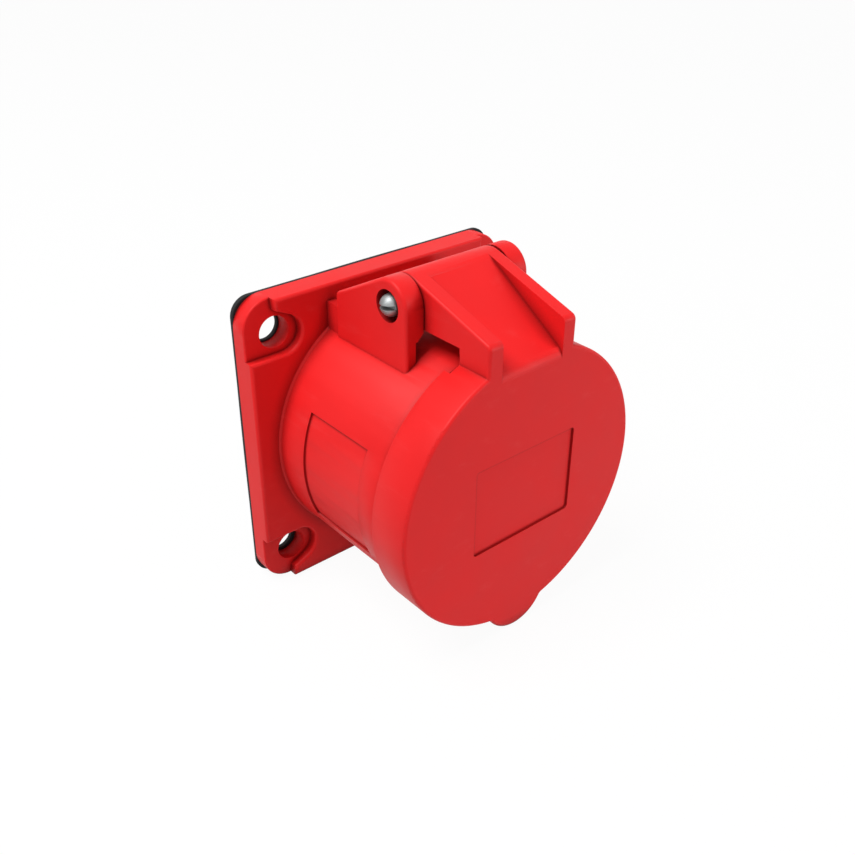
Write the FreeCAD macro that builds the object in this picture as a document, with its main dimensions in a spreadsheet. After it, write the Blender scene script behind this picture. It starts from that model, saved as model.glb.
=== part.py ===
"""Five-pole industrial panel socket with a sprung lid.

Millimetres, +Z up. The socket faces -Y, and the origin is the centre of the gasket's back face, where
it meets the panel. "Forward" below means the distance in front of that face, along -Y.
"""
import FreeCAD, Part
import math
import os
import re

import Sketcher

Vector = FreeCAD.Vector

# Driving dimensions
SIZES = {
    # gasket behind the flange
    "gasket_thick": 1.2,
    "gasket_inset": 0.5,
    "gasket_corner": 4.0,
    # square flange
    "flange_size": 75.0,
    "flange_thick": 6.3,
    "flange_corner": 7.0,
    "flange_round": 0.8,
    "floor_round": 0.4,
    "fixing_inset_side": 7.7,
    "fixing_inset_up": 8.3,
    "fixing_dia": 7.6,
    "pocket_depth": 2.2,
    "pocket_radius": 4.75,
    "pocket_shift_side": 1.2,
    "pocket_shift_up": 0.4,
    "pocket_slope": 25.0,
    "pocket_fold": 0.3,
    "pocket_lean": 0.35,
    # round barrel and its bores
    "barrel_radius": 31.9,
    "barrel_length": 37.2,
    "foot_bevel": 0.4,
    "spigot_inset": 1.5,
    "spigot_reach": 5.1,
    "spigot_bevel": 0.5,
    "barrel_wall": 3.7,
    "key_width": 6.4,
    "key_depth": 1.2,
    "web_setback": 1.5,
    "web_thick": 5.0,
    "rear_step": 0.4,
    "collar_wall": 1.8,
    "collar_length": 4.2,
    "collar_play": 0.3,
    # shallow plate recess on each side of the barrel
    "plate_depth": 0.5,
    "plate_start": 9.3,
    "plate_length": 20.3,
    "plate_angle": 50.6,
    # hinge
    "hinge_setback": 14.9,
    "hinge_rise": 8.3,
    "knuckle_radius": 5.9,
    "arm_half": 12.3,
    "ear_gap": 0.3,
    "boss_thick": 2.1,
    "boss_drop": 7.0,
    "boss_chamfer": 1.6,
    "ear_thick": 2.7,
    "ear_setback": 4.5,
    "ear_slope": 27.7,
    "ear_round": 0.8,
    "heel_inset": 0.5,
    "heel_rise": 1.8,
    # hinge screw
    "pin_radius": 2.0,
    "pin_play": 0.08,
    "thread_play": 0.02,
    "head_radius": 3.3,
    "head_side": 0.9,
    "head_dome": 1.3,
    "head_play": 0.3,
    "head_sink": 3.2,
    "slot_width": 1.0,
    "slot_depth": 1.1,
    "slot_tilt": 17.0,
    "pin_end_gap": 0.4,
    "pin_end_wall": 1.0,
    # lid
    "lid_overhang": 2.1,
    "lid_depth": 10.4,
    "lid_round": 0.8,
    "lid_plate": 2.6,
    "skirt_wall": 2.0,
    "cavity_chamfer": 1.2,
    "rim_gap": 0.4,
    "notch_half": 14.85,
    "notch_depth": 1.8,
    "label_width": 29.3,
    "label_height": 21.8,
    "label_depth": 0.5,
    "label_corner": 0.8,
    "tab_radius": 9.0,
    "tab_reach": 3.9,
    "tab_thick": 3.6,
    "tab_blend": 1.2,
    # arm of the lid
    "rib_thick": 3.6,
    "rib_slope": 17.2,
    "rib_corner": 1.5,
    "rib_round": 0.7,
    "arm_drop": 4.9,
    "arm_foot": 1.7,
    "arm_root": 7.0,
    "web_slope": 32.5,
    "web_blend": 3.0,
    "roof_wall": 2.4,
    "spring_room": 4.6,
    "spring_half": 7.0,
    "roof_reach": 28.0,
    # lid seal
    "seal_lip": 0.4,
    "seal_overlap": 0.2,
    "seal_seat": 0.6,
    "seal_gap": 0.25,
    # torsion spring
    "wire_dia": 1.0,
    "coil_radius": 3.3,
    "coil_turns": 6.0,
    "coil_pitch": 1.3,
    "leg_angle": 10.0,
    "leg_gap": 0.25,
    "tang_length": 3.0,
    "tang_bend": 1.0,
    "tang_play": 0.15,
    # contact carrier
    "plug_room": 5.2,
    "carrier_play": 0.2,
    "carrier_recess": 3.0,
    "carrier_flange": 3.0,
    "carrier_tail": 17.0,
    "tail_inset": 0.4,
    "cover_thick": 2.5,
    "entry_depth": 3.3,
    "entry_play": 0.3,
    "entry_chamfer": 0.5,
    "pitch_inset": 8.0,
    # contacts
    "phase_pin": 5.0,
    "earth_pin": 7.0,
    "pin_slack": 0.05,
    "sleeve_wall": 0.8,
    "sleeve_slit": 0.8,
    "slit_length": 16.0,
    "sleeve_depth": 32.0,
    "contact_gap": 0.3,
    "band_wall": 0.6,
    "band_width": 4.0,
    "band_setback": 6.0,
    "band_fit": 0.02,
    "band_angle": 325.0,
    "chamber_play": 0.2,
    "block_step": 0.6,
    "block_front": 4.0,
    "block_gap": 0.2,
    "wire_bore": 5.4,
    "wire_depth": 12.0,
    "cable_hole": 6.4,
    # clamping screws of the terminals
    "clamp_radius": 1.95,
    "clamp_length": 5.3,
    "clamp_start": 0.9,
    "clamp_behind": 9.0,
    "clamp_slot": 0.8,
    "clamp_access": 2.3,
    # screws that hold the carrier and its cover
    "fixing_edge": 2.6,
    "fixing_shank": 1.2,
    "fixing_head": 2.1,
    "fixing_head_depth": 1.8,
    "fixing_grip": 4.0,
    "fixing_slot": 0.6,
    "cover_shank": 1.5,
    "cover_head": 2.9,
    "cover_head_depth": 2.0,
    "cover_grip": 8.0,
}

# Sizes that are tied to the driving ones, so that the pieces keep fitting each other
TIED_SIZES = {
    "fixing_across": "flange_size - 2 * fixing_inset_side",
    "fixing_up": "flange_size - 2 * fixing_inset_up",
    "bore_radius": "barrel_radius - barrel_wall",
    "rear_radius": "bore_radius - rear_step",
    "lid_radius": "barrel_radius + lid_overhang",
    "seal_inner": "bore_radius - seal_lip",
    "seal_outer": "barrel_radius - spigot_inset + seal_overlap",
    "carrier_radius": "bore_radius - plug_room",
    "tail_radius": "carrier_radius - tail_inset",
    "pitch_radius": "carrier_radius - pitch_inset",
    "fixing_radius": "rear_radius - fixing_edge",
}

# A cut runs this far past the face it opens
PAST = 1.0

# The spring's wire is drawn with this many flat sides
WIRE_SIDES = 8

# Distances that follow from the driving dimensions, forward from the panel
FLANGE_FRONT = "(gasket_thick + flange_thick)"
LID_REAR = f"({FLANGE_FRONT} + barrel_length)"
BARREL_FRONT = f"({LID_REAR} - rim_gap)"
SPIGOT_FRONT = f"({LID_REAR} + spigot_reach)"
LID_FRONT = f"({LID_REAR} + lid_depth)"
LID_FLOOR = f"({LID_FRONT} - lid_plate)"
WEB_BACK = f"({FLANGE_FRONT} + web_setback)"
WEB_FRONT = f"({WEB_BACK} + web_thick)"
COLLAR_BACK = "(gasket_thick - collar_length)"
POCKET_FLOOR = f"({FLANGE_FRONT} - pocket_depth)"
CARRIER_FRONT = f"({SPIGOT_FRONT} - carrier_recess)"
CARRIER_SEAT = f"({WEB_BACK} - carrier_flange)"
CONTACT_FRONT = f"({CARRIER_FRONT} - entry_depth - contact_gap)"
HINGE_FORWARD = f"({LID_REAR} - hinge_setback)"
EAR_BACK = f"({FLANGE_FRONT} + ear_setback)"
ARM_FOOT = f"({LID_REAR} + arm_foot)"
RIB_START = f"({HINGE_FORWARD} + knuckle_radius * sin(rib_slope))"
WEB_START = f"({HINGE_FORWARD} + knuckle_radius * sin(web_slope))"

# Heights and widths that follow from them
HINGE_UP = "(barrel_radius + hinge_rise)"
COLLAR_RADIUS = "(rear_radius + collar_wall)"
SPIGOT_RADIUS = "(barrel_radius - spigot_inset)"
SKIRT_RADIUS = "(lid_radius - skirt_wall)"
CARRIER_FLANGE_RADIUS = "(rear_radius - 2 * carrier_play)"
BOSS_INNER = "(arm_half + ear_gap)"
EAR_INNER = f"({BOSS_INNER} + boss_thick)"
EAR_OUTER = f"({EAR_INNER} + ear_thick)"
EAR_FOOT = f"(sqrt(barrel_radius * barrel_radius - {EAR_OUTER} * {EAR_OUTER}) - {PAST})"
RIB_INNER = "(arm_half - rib_thick)"

# Directions of the five contacts seen from the front, anticlockwise from +X; earth is at 6 o'clock
STEP_ANGLE = 72
EARTH_ANGLE = -90
CONTACTS = {
    "l1": EARTH_ANGLE - STEP_ANGLE,
    "l2": EARTH_ANGLE - 2 * STEP_ANGLE,
    "l3": EARTH_ANGLE - 3 * STEP_ANGLE,
    "n": EARTH_ANGLE - 4 * STEP_ANGLE,
    "pe": EARTH_ANGLE,
}

document = FreeCAD.newDocument("PanelSocket")
sheet = document.addObject("Spreadsheet::Sheet", "Sizes")
for row, (alias, size) in enumerate({**SIZES, **TIED_SIZES}.items(), start=1):
    sheet.set(f"A{row}", alias)
    sheet.set(f"B{row}", f"={size}")
    sheet.setAlias(f"B{row}", alias)
document.recompute()


# Formulas over the sheet

def bound(formula):
    """The formula with each alias written as a reference to the sheet."""
    return re.sub(r"\b[a-z]+(?:_[a-z]+)+\b", r"Sizes.\g<0>", formula)


def value(formula):
    """The formula's present value."""
    return float(sheet.evalExpression(bound(formula)))


def bind(item, name, formula):
    item.setExpression(name, bound(formula))


# Bodies, sketches and features

def new_body(name):
    body = document.addObject("PartDesign::Body", name)
    body.Label = name
    return body


def origin_plane(body, role):
    return next(item for item in body.Origin.OriginFeatures if item.Role == role)


def new_sketch(body, name, role, height="0"):
    """A sketch on one of the body's origin planes, raised along the plane's normal."""
    sketch = body.newObject("Sketcher::SketchObject", name)
    sketch.AttachmentSupport = [(origin_plane(body, role), "")]
    sketch.MapMode = "FlatFace"
    bind(sketch, ".AttachmentOffset.Base.z", height)
    return sketch


def front_sketch(body, name, forward="0"):
    """A sketch that faces forward; across is X and up is Z."""
    return new_sketch(body, name, "XZ_Plane", forward)


def side_sketch(body, name, across="0"):
    """A sketch that faces +X; its outlines are given as forward and up."""
    return new_sketch(body, name, "YZ_Plane", across)


def top_sketch(body, name, up="0"):
    """A sketch that faces up; across is X and the second direction is Y."""
    return new_sketch(body, name, "XY_Plane", up)


def is_side(sketch):
    return sketch.AttachmentSupport[0][0].Role == "YZ_Plane"


def outline(sketch, corners, arcs=None):
    """A closed outline through corners given as pairs of formulas.

    arcs maps a corner's number to (centre across, centre up, turn), where the edge that leaves the corner
    is an arc: turn is 1 for anticlockwise and -1 for clockwise. On a side sketch, across is forward.
    """
    arcs = arcs or {}
    mirror = -1 if is_side(sketch) else 1
    sign = "-" if is_side(sketch) else ""
    points = [Vector(mirror * value(across), value(up), 0) for across, up in corners]
    first = sketch.GeometryCount
    count = len(corners)
    ends = []
    centres = {}
    for index in range(count):
        start = points[index]
        end = points[(index + 1) % count]
        if index not in arcs:
            sketch.addGeometry(Part.LineSegment(start, end), False)
            ends.append((1, 2))
            continue
        across, up, turn = arcs[index]
        centre = Vector(mirror * value(across), value(up), 0)
        centres[index] = centre
        forwards = mirror * turn > 0
        low, high = (start, end) if forwards else (end, start)
        low_angle = math.atan2(low.y - centre.y, low.x - centre.x)
        high_angle = math.atan2(high.y - centre.y, high.x - centre.x)
        if high_angle <= low_angle:
            high_angle += 2 * math.pi
        circle = Part.Circle(centre, Vector(0, 0, 1), (start - centre).Length)
        sketch.addGeometry(Part.ArcOfCircle(circle, low_angle, high_angle), False)
        ends.append((1, 2) if forwards else (2, 1))
    for index in range(count):
        after = (index + 1) % count
        joint = (first + index, ends[index][1], first + after, ends[after][0])
        sketch.addConstraint(Sketcher.Constraint("Coincident", *joint))
    for index, (across, up) in enumerate(corners):
        place = (first + index, ends[index][0])
        before = (index - 1) % count
        spoke = points[index] - centres[before] if before in centres else None
        if spoke is None or abs(spoke.y) >= abs(spoke.x):
            fix(sketch, "DistanceX", place, f"{sign}({across})")
        if spoke is None or abs(spoke.y) < abs(spoke.x):
            fix(sketch, "DistanceY", place, up)
    for index, (across, up, _) in arcs.items():
        fix(sketch, "DistanceX", (first + index, 3), f"{sign}({across})")
        fix(sketch, "DistanceY", (first + index, 3), up)


def fix(sketch, kind, place, formula):
    """Hold one coordinate of a point of the sketch at a formula."""
    number = sketch.addConstraint(Sketcher.Constraint(kind, -1, 1, *place, value(formula)))
    bind(sketch, f"Constraints[{number}]", formula)


def circle(sketch, radius, across="0", up="0"):
    mirror = -1 if is_side(sketch) else 1
    sign = "-" if is_side(sketch) else ""
    centre = Vector(mirror * value(across), value(up), 0)
    edge = sketch.addGeometry(Part.Circle(centre, Vector(0, 0, 1), value(radius)), False)
    fix(sketch, "DistanceX", (edge, 3), f"{sign}({across})")
    fix(sketch, "DistanceY", (edge, 3), up)
    number = sketch.addConstraint(Sketcher.Constraint("Radius", edge, value(radius)))
    bind(sketch, f"Constraints[{number}]", radius)


def rectangle(sketch, left, right, low, high):
    outline(sketch, [(left, low), (right, low), (right, high), (left, high)])


def feature(body, kind, name, sketch):
    item = body.newObject(f"PartDesign::{kind}", name)
    item.Profile = sketch
    return item


def pad(body, name, sketch, length, both_ways=False):
    """Material from the sketch along its normal, or half to each side of it."""
    item = feature(body, "Pad", name, sketch)
    bind(item, "Length", length)
    item.Midplane = both_ways
    document.recompute()
    return item


def pocket(body, name, sketch, length, both_ways=False, ahead=False):
    """A cut from the sketch against its normal, to both sides, or along the normal."""
    before = body.Shape.Volume
    item = feature(body, "Pocket", name, sketch)
    bind(item, "Length", length)
    item.Midplane = both_ways
    item.Reversed = ahead
    document.recompute()
    if not body.Shape.Volume < before:
        raise RuntimeError(f"{name} cuts nothing")
    return item


def revolve(body, name, sketch, angle=360.0):
    item = feature(body, "Revolution", name, sketch)
    item.ReferenceAxis = (sketch, ["H_Axis"])
    item.Angle = angle
    document.recompute()
    return item


def groove(body, name, sketch):
    before = body.Shape.Volume
    item = feature(body, "Groove", name, sketch)
    item.ReferenceAxis = (sketch, ["H_Axis"])
    document.recompute()
    if not body.Shape.Volume < before:
        raise RuntimeError(f"{name} cuts nothing")
    return item


def mirror_across(body, name, originals):
    """The same features on the other side of the middle plane."""
    item = body.newObject("PartDesign::Mirrored", name)
    item.Originals = originals
    item.MirrorPlane = (origin_plane(body, "YZ_Plane"), [""])
    body.Tip = item
    document.recompute()
    return item


def repeat_around(body, name, originals, count, angle=360.0):
    """Copies of the features around the socket's axis."""
    item = body.newObject("PartDesign::PolarPattern", name)
    item.Originals = originals
    item.Axis = (origin_plane(body, "Y_Axis"), [""])
    item.Occurrences = count
    item.Angle = angle
    body.Tip = item
    document.recompute()
    return item


def join(body, name, other):
    """Fuse another body into this one."""
    item = body.newObject("PartDesign::Boolean", name)
    item.setObjects([other])
    item.Type = "Fuse"
    document.recompute()
    return item


def dress(body, kind, name, size, chosen):
    """Round or bevel the edges of the body that the test picks."""
    base = body.Tip
    real = [(number, edge) for number, edge in enumerate(base.Shape.Edges, start=1) if not edge.Degenerated]
    edges = [f"Edge{number}" for number, edge in real if chosen(edge)]
    if not edges:
        raise RuntimeError(f"{name} finds no edge")
    item = body.newObject(f"PartDesign::{kind}", name)
    item.Base = (base, edges)
    bind(item, "Radius" if kind == "Fillet" else "Size", size)
    document.recompute()
    return item


def fillet(body, name, radius, chosen):
    return dress(body, "Fillet", name, radius, chosen)


def chamfer(body, name, size, chosen):
    return dress(body, "Chamfer", name, size, chosen)


# Tests on edges

NEAR = 0.001


def close(a, b):
    return abs(a - b) < NEAR


def across_at(edge, x):
    """The whole edge lies at this X."""
    box = edge.BoundBox
    return close(box.XMin, x) and close(box.XMax, x)


def forward_at(edge, forward):
    """The whole edge lies this far forward."""
    box = edge.BoundBox
    return close(box.YMin, -forward) and close(box.YMax, -forward)


def runs_forward(edge):
    """The edge is straight and runs front to back."""
    box = edge.BoundBox
    return close(box.XLength, 0) and close(box.ZLength, 0)


def runs_across(edge):
    box = edge.BoundBox
    return close(box.YLength, 0) and close(box.ZLength, 0)


def around(edge, radius, x=0.0, z=0.0):
    """The edge keeps this distance from a line that runs forward, by default the socket's own axis."""
    return all(close(math.hypot(point.x - x, point.z - z), radius) for point in edge.discretize(5))


# Positions used by several pieces

def four_corners():
    """The side and height signs of the flange's corners."""
    return [(side, level) for side in (1, -1) for level in (1, -1)]


def draw_fixing_holes(sketch):
    for side, level in four_corners():
        circle(sketch, "fixing_dia / 2", f"{side} * fixing_across / 2", f"{level} * fixing_up / 2")


def contact_place(angle):
    return f"pitch_radius * cos({angle})", f"pitch_radius * sin({angle})"


def kind_of(name):
    return "earth" if name == "pe" else "phase"


def sleeve_radius(kind):
    return f"({kind}_pin / 2 + pin_slack + sleeve_wall)"


def band_radius(kind):
    return f"({sleeve_radius(kind)} + band_fit + band_wall)"


def chamber_radius(kind):
    return f"({band_radius(kind)} + chamber_play)"


def block_radius(kind):
    return f"({chamber_radius(kind)} + block_step - chamber_play)"


# Gasket between the flange and the panel

def make_flange_gasket():
    body = new_body("flange_gasket")
    edge = "flange_size / 2 - gasket_inset"
    sheet_outline = front_sketch(body, "gasket_outline")
    rectangle(sheet_outline, f"-({edge})", edge, f"-({edge})", edge)
    pad(body, "gasket_sheet", sheet_outline, "gasket_thick")
    fillet(body, "gasket_corners", "gasket_corner", runs_forward)
    openings = front_sketch(body, "gasket_openings", "gasket_thick")
    circle(openings, f"{COLLAR_RADIUS} + collar_play")
    draw_fixing_holes(openings)
    pocket(body, "gasket_cuts", openings, "gasket_thick")
    return body


# Housing: flange, barrel and hinge ears in one moulding

def draw_corner_pocket(sketch, side, level):
    """The sunk corner round a fixing hole: a round wall that runs straight to the side edge, and over the
    hole in a shallow slope to a fold, from which it climbs to the other edge."""
    across = "(fixing_across / 2 - pocket_shift_side)"
    up = "(fixing_up / 2 - pocket_shift_up)"
    slope_across = f"({across} - pocket_radius * sin(pocket_slope))"
    slope_up = f"({up} + pocket_radius * cos(pocket_slope))"
    fold_across = "(fixing_across / 2 + pocket_fold)"
    fold_up = f"({slope_up} + ({fold_across} - {slope_across}) * tan(pocket_slope))"
    outside = f"(flange_size / 2 + {PAST})"
    corners = [
        (across, f"{up} - pocket_radius"),
        (outside, f"{up} - pocket_radius"),
        (outside, outside),
        (f"{fold_across} + pocket_lean", outside),
        (fold_across, fold_up),
        (slope_across, slope_up),
    ]
    signed = [(f"{side} * ({a})", f"{level} * ({b})") for a, b in corners]
    outline(sketch, signed, {5: (f"{side} * {across}", f"{level} * {up}", side * level)})


def make_flange(body):
    half = "flange_size / 2"
    square = front_sketch(body, "flange_outline", "gasket_thick")
    rectangle(square, f"-{half}", half, f"-{half}", half)
    circle(square, "bore_radius")
    pad(body, "flange_plate", square, "flange_thick")
    fillet(body, "flange_corners", "flange_corner", runs_forward)
    corners = front_sketch(body, "corner_outlines", FLANGE_FRONT)
    for side, level in four_corners():
        draw_corner_pocket(corners, side, level)
    pocket(body, "corner_pockets", corners, "pocket_depth")
    front = value(FLANGE_FRONT)
    floor = value(POCKET_FLOOR)
    rim = value(half)
    turn = value("flange_corner")
    bore = value("bore_radius")

    def floor_rim(edge):
        middle = edge.discretize(3)[1]
        outer = max(abs(middle.x), abs(middle.z)) > rim - NEAR
        corner = around(edge, turn, math.copysign(rim - turn, middle.x), math.copysign(rim - turn, middle.z))
        return forward_at(edge, floor) and (outer or corner)

    fillet(body, "floor_rounding", "floor_round", floor_rim)

    def front_rim(edge):
        return forward_at(edge, front) and not around(edge, bore)

    fillet(body, "flange_rounding", "flange_round", front_rim)
    holes = front_sketch(body, "fixing_circles", POCKET_FLOOR)
    draw_fixing_holes(holes)
    pocket(body, "fixing_holes", holes, "flange_thick")


def make_barrel(body):
    """The barrel, the spigot under the lid's rim, the web that carries the contacts and the rear collar."""
    profile = side_sketch(body, "barrel_profile")
    outline(profile, [
        (COLLAR_BACK, "rear_radius"),
        (COLLAR_BACK, COLLAR_RADIUS),
        ("gasket_thick", COLLAR_RADIUS),
        ("gasket_thick", "barrel_radius + foot_bevel"),
        (FLANGE_FRONT, "barrel_radius + foot_bevel"),
        (f"{FLANGE_FRONT} + foot_bevel", "barrel_radius"),
        (BARREL_FRONT, "barrel_radius"),
        (BARREL_FRONT, SPIGOT_RADIUS),
        (SPIGOT_FRONT, SPIGOT_RADIUS),
        (SPIGOT_FRONT, "bore_radius"),
        (WEB_FRONT, "bore_radius"),
        (WEB_FRONT, "carrier_radius + carrier_play"),
        (WEB_BACK, "carrier_radius + carrier_play"),
        (WEB_BACK, "rear_radius"),
    ])
    revolve(body, "barrel", profile)
    tip = value(SPIGOT_FRONT)
    spigot = value(SPIGOT_RADIUS)
    chamfer(body, "spigot_tip", "spigot_bevel", lambda edge: forward_at(edge, tip) and around(edge, spigot))
    keyway = front_sketch(body, "keyway_outline", SPIGOT_FRONT)
    half = "key_width / 2"
    rectangle(keyway, f"-{half}", half, "-(bore_radius + key_depth)", f"{PAST} - bore_radius")
    pocket(body, "keyway", keyway, f"{SPIGOT_FRONT} - {WEB_FRONT}")


def make_plate_recesses(body):
    """A shallow recess with a constant depth round each side of the barrel."""
    start = f"({FLANGE_FRONT} + plate_start)"
    section = top_sketch(body, "recess_section")
    outline(section, [
        ("barrel_radius - plate_depth", f"-{start}"),
        (f"barrel_radius + {PAST}", f"-{start}"),
        (f"barrel_radius + {PAST}", f"-{start} - plate_length"),
        ("barrel_radius - plate_depth", f"-{start} - plate_length"),
    ])
    cut = feature(body, "Groove", "plate_recess", section)
    cut.ReferenceAxis = (section, ["V_Axis"])
    cut.Midplane = True
    bind(cut, "Angle", "plate_angle")
    document.recompute()
    mirror_across(body, "plate_recesses", [cut])


def make_ears(body):
    """The right ear with its boss and heel, then the same on the left."""
    lean = "(knuckle_radius * sin(ear_slope))"
    rise = "(knuckle_radius * cos(ear_slope))"
    run = f"({HINGE_FORWARD} - {lean} - {EAR_BACK})"
    nose = f"{HINGE_FORWARD} + knuckle_radius"
    ear_profile = side_sketch(body, "ear_profile", EAR_INNER)
    outline(ear_profile, [
        (nose, EAR_FOOT),
        (nose, HINGE_UP),
        (f"{HINGE_FORWARD} - {lean}", f"{HINGE_UP} + {rise}"),
        (EAR_BACK, f"{HINGE_UP} + {rise} - {run} * tan(ear_slope)"),
        (EAR_BACK, EAR_FOOT),
    ], {1: (HINGE_FORWARD, HINGE_UP, 1)})
    ear = pad(body, "ear", ear_profile, "ear_thick")
    boss_profile = side_sketch(body, "boss_profile", BOSS_INNER)
    heel = f"{HINGE_FORWARD} - knuckle_radius"
    outline(boss_profile, [
        (nose, f"{HINGE_UP} - boss_drop"),
        (nose, HINGE_UP),
        (heel, HINGE_UP),
        (heel, f"{HINGE_UP} - boss_drop"),
    ], {1: (HINGE_FORWARD, HINGE_UP, 1)})
    boss = pad(body, "boss", boss_profile, "boss_thick")
    heel_profile = side_sketch(body, "heel_profile", EAR_INNER)
    rectangle(heel_profile, FLANGE_FRONT, EAR_BACK, EAR_FOOT, "barrel_radius + heel_rise")
    heel_pad = pad(body, "heel", heel_profile, "ear_thick - heel_inset")
    mirror_across(body, "left_ear", [ear, boss, heel_pad])
    inner = value(BOSS_INNER)
    bottom = value(f"{HINGE_UP} - boss_drop")

    def under_boss(edge):
        return abs(abs(edge.CenterOfMass.x) - inner) < NEAR and close(edge.CenterOfMass.z, bottom)

    chamfer(body, "boss_undercut", "boss_chamfer", under_boss)
    outer = value(EAR_OUTER)
    back = value(EAR_BACK)

    def round_outside(edge):
        flat = across_at(edge, outer) or across_at(edge, -outer)
        return flat and not forward_at(edge, back) and edge.CenterOfMass.z > value("barrel_radius")

    fillet(body, "ear_rounding", "ear_round", round_outside)


def make_hinge_holes(body):
    """A counterbore and clearance hole in the left ear, and a blind threaded hole in the right one."""
    axis = (HINGE_FORWARD, HINGE_UP)
    counterbore = side_sketch(body, "counterbore_circle", f"-{EAR_OUTER}")
    circle(counterbore, "head_radius + head_play", *axis)
    pocket(body, "counterbore", counterbore, "head_sink", ahead=True)
    clearance = side_sketch(body, "clearance_circle", f"-{BOSS_INNER}")
    circle(clearance, "pin_radius + pin_play", *axis)
    pocket(body, "clearance_hole", clearance, "ear_thick + boss_thick")
    thread = side_sketch(body, "thread_circle", BOSS_INNER)
    circle(thread, "pin_radius + thread_play", *axis)
    pocket(body, "thread_hole", thread, "ear_thick + boss_thick - pin_end_wall", ahead=True)


def make_carrier_screw_holes(body):
    holes = front_sketch(body, "carrier_hole_circles", WEB_BACK)
    for side in (1, -1):
        circle(holes, "fixing_shank + thread_play", f"{side} * fixing_radius")
    pocket(body, "carrier_holes", holes, "fixing_grip + contact_gap", ahead=True)


def make_socket_housing():
    body = new_body("socket_housing")
    make_flange(body)
    make_barrel(body)
    make_plate_recesses(body)
    make_ears(body)
    make_hinge_holes(body)
    make_carrier_screw_holes(body)
    return body


# Lid: cap, thumb tab and hinge arm in one moulding

def make_cap(body):
    """The round cap with its thumb tab, rounded along the front edge."""
    disc = front_sketch(body, "cap_outline", LID_REAR)
    circle(disc, "lid_radius")
    pad(body, "cap", disc, "lid_depth")
    tab = front_sketch(body, "tab_outline", f"{LID_FRONT} - tab_thick")
    circle(tab, "tab_radius", "0", "-(lid_radius + tab_reach - tab_radius)")
    pad(body, "tab", tab, "tab_thick")
    edge_radius = value("lid_radius")

    def beside_tab(edge):
        middle = edge.CenterOfMass
        return runs_forward(edge) and close(math.hypot(middle.x, middle.z), edge_radius) and middle.z < 0

    fillet(body, "tab_blends", "tab_blend", beside_tab)
    front = value(LID_FRONT)
    fillet(body, "cap_rounding", "lid_round", lambda edge: forward_at(edge, front))


def make_arm():
    """The arm from the knuckle to the cap, before it is sunk between its two ribs."""
    drop = "sqrt(knuckle_radius * knuckle_radius - arm_drop * arm_drop)"
    rise = "(knuckle_radius * cos(rib_slope))"
    front_up = f"{HINGE_UP} + {rise} - ({LID_FRONT} - {RIB_START}) * tan(rib_slope)"
    arm = new_body("lid_arm")
    profile = side_sketch(arm, "arm_profile")
    outline(profile, [
        (f"{HINGE_FORWARD} + {drop}", f"{HINGE_UP} - arm_drop"),
        (ARM_FOOT, f"{HINGE_UP} - arm_drop"),
        (ARM_FOOT, f"{SKIRT_RADIUS} - arm_root"),
        (LID_FRONT, f"{SKIRT_RADIUS} - arm_root"),
        (LID_FRONT, front_up),
        (RIB_START, f"{HINGE_UP} + {rise}"),
    ], {5: (HINGE_FORWARD, HINGE_UP, 1)})
    pad(arm, "arm_block", profile, "2 * arm_half", both_ways=True)
    front = value(LID_FRONT)
    outer = value("arm_half")

    def rib_nose(edge):
        middle = edge.CenterOfMass
        return runs_across(edge) and close(middle.y, -front) and middle.z > value("lid_radius")

    fillet(arm, "rib_noses", "rib_corner", rib_nose)

    def rib_top(edge):
        middle = edge.CenterOfMass
        flat = across_at(edge, outer) or across_at(edge, -outer)
        return flat and middle.z > value("lid_radius") and -middle.y > value(ARM_FOOT)

    fillet(arm, "rib_rounding", "rib_round", rib_top)
    return arm


def web_line(forward):
    """Height of the sloping web between the ribs, this far forward."""
    return f"({HINGE_UP} + knuckle_radius * cos(web_slope) - ({forward} - {WEB_START}) * tan(web_slope))"


def cut_between_ribs(body):
    """Sink the arm and the cap's edge to the sloping web, with a soft turn into the front face."""
    turn = "(web_blend * tan((90 - web_slope) / 2))"
    bend = f"({LID_FRONT} - {turn} * cos(web_slope))"
    front_end = f"({web_line(LID_FRONT)} - {turn})"
    high = f"({HINGE_UP} + 2 * knuckle_radius)"
    section = side_sketch(body, "web_section")
    outline(section, [
        (RIB_START, f"{HINGE_UP} + knuckle_radius * cos(rib_slope)"),
        (WEB_START, web_line(WEB_START)),
        (bend, web_line(bend)),
        (LID_FRONT, front_end),
        (f"{LID_FRONT} + {PAST}", front_end),
        (f"{LID_FRONT} + {PAST}", high),
        (RIB_START, high),
    ], {0: (HINGE_FORWARD, HINGE_UP, -1), 2: (f"{LID_FRONT} - web_blend", front_end, -1)})
    pocket(body, "web_cut", section, f"2 * {RIB_INNER}", both_ways=True)


def hollow_cap(body):
    """The space inside the cap, with the seat of the seal."""
    section = side_sketch(body, "cavity_section")
    outline(section, [
        (f"{LID_REAR} - {PAST}", "0"),
        (LID_FLOOR, "0"),
        (LID_FLOOR, "seal_inner"),
        (f"{LID_FLOOR} + seal_seat", "seal_inner"),
        (f"{LID_FLOOR} + seal_seat", "seal_outer"),
        (LID_FLOOR, "seal_outer"),
        (LID_FLOOR, f"{SKIRT_RADIUS} - cavity_chamfer"),
        (f"{LID_FLOOR} - cavity_chamfer", SKIRT_RADIUS),
        (f"{LID_REAR} - {PAST}", SKIRT_RADIUS),
    ])
    groove(body, "cavity", section)


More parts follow.
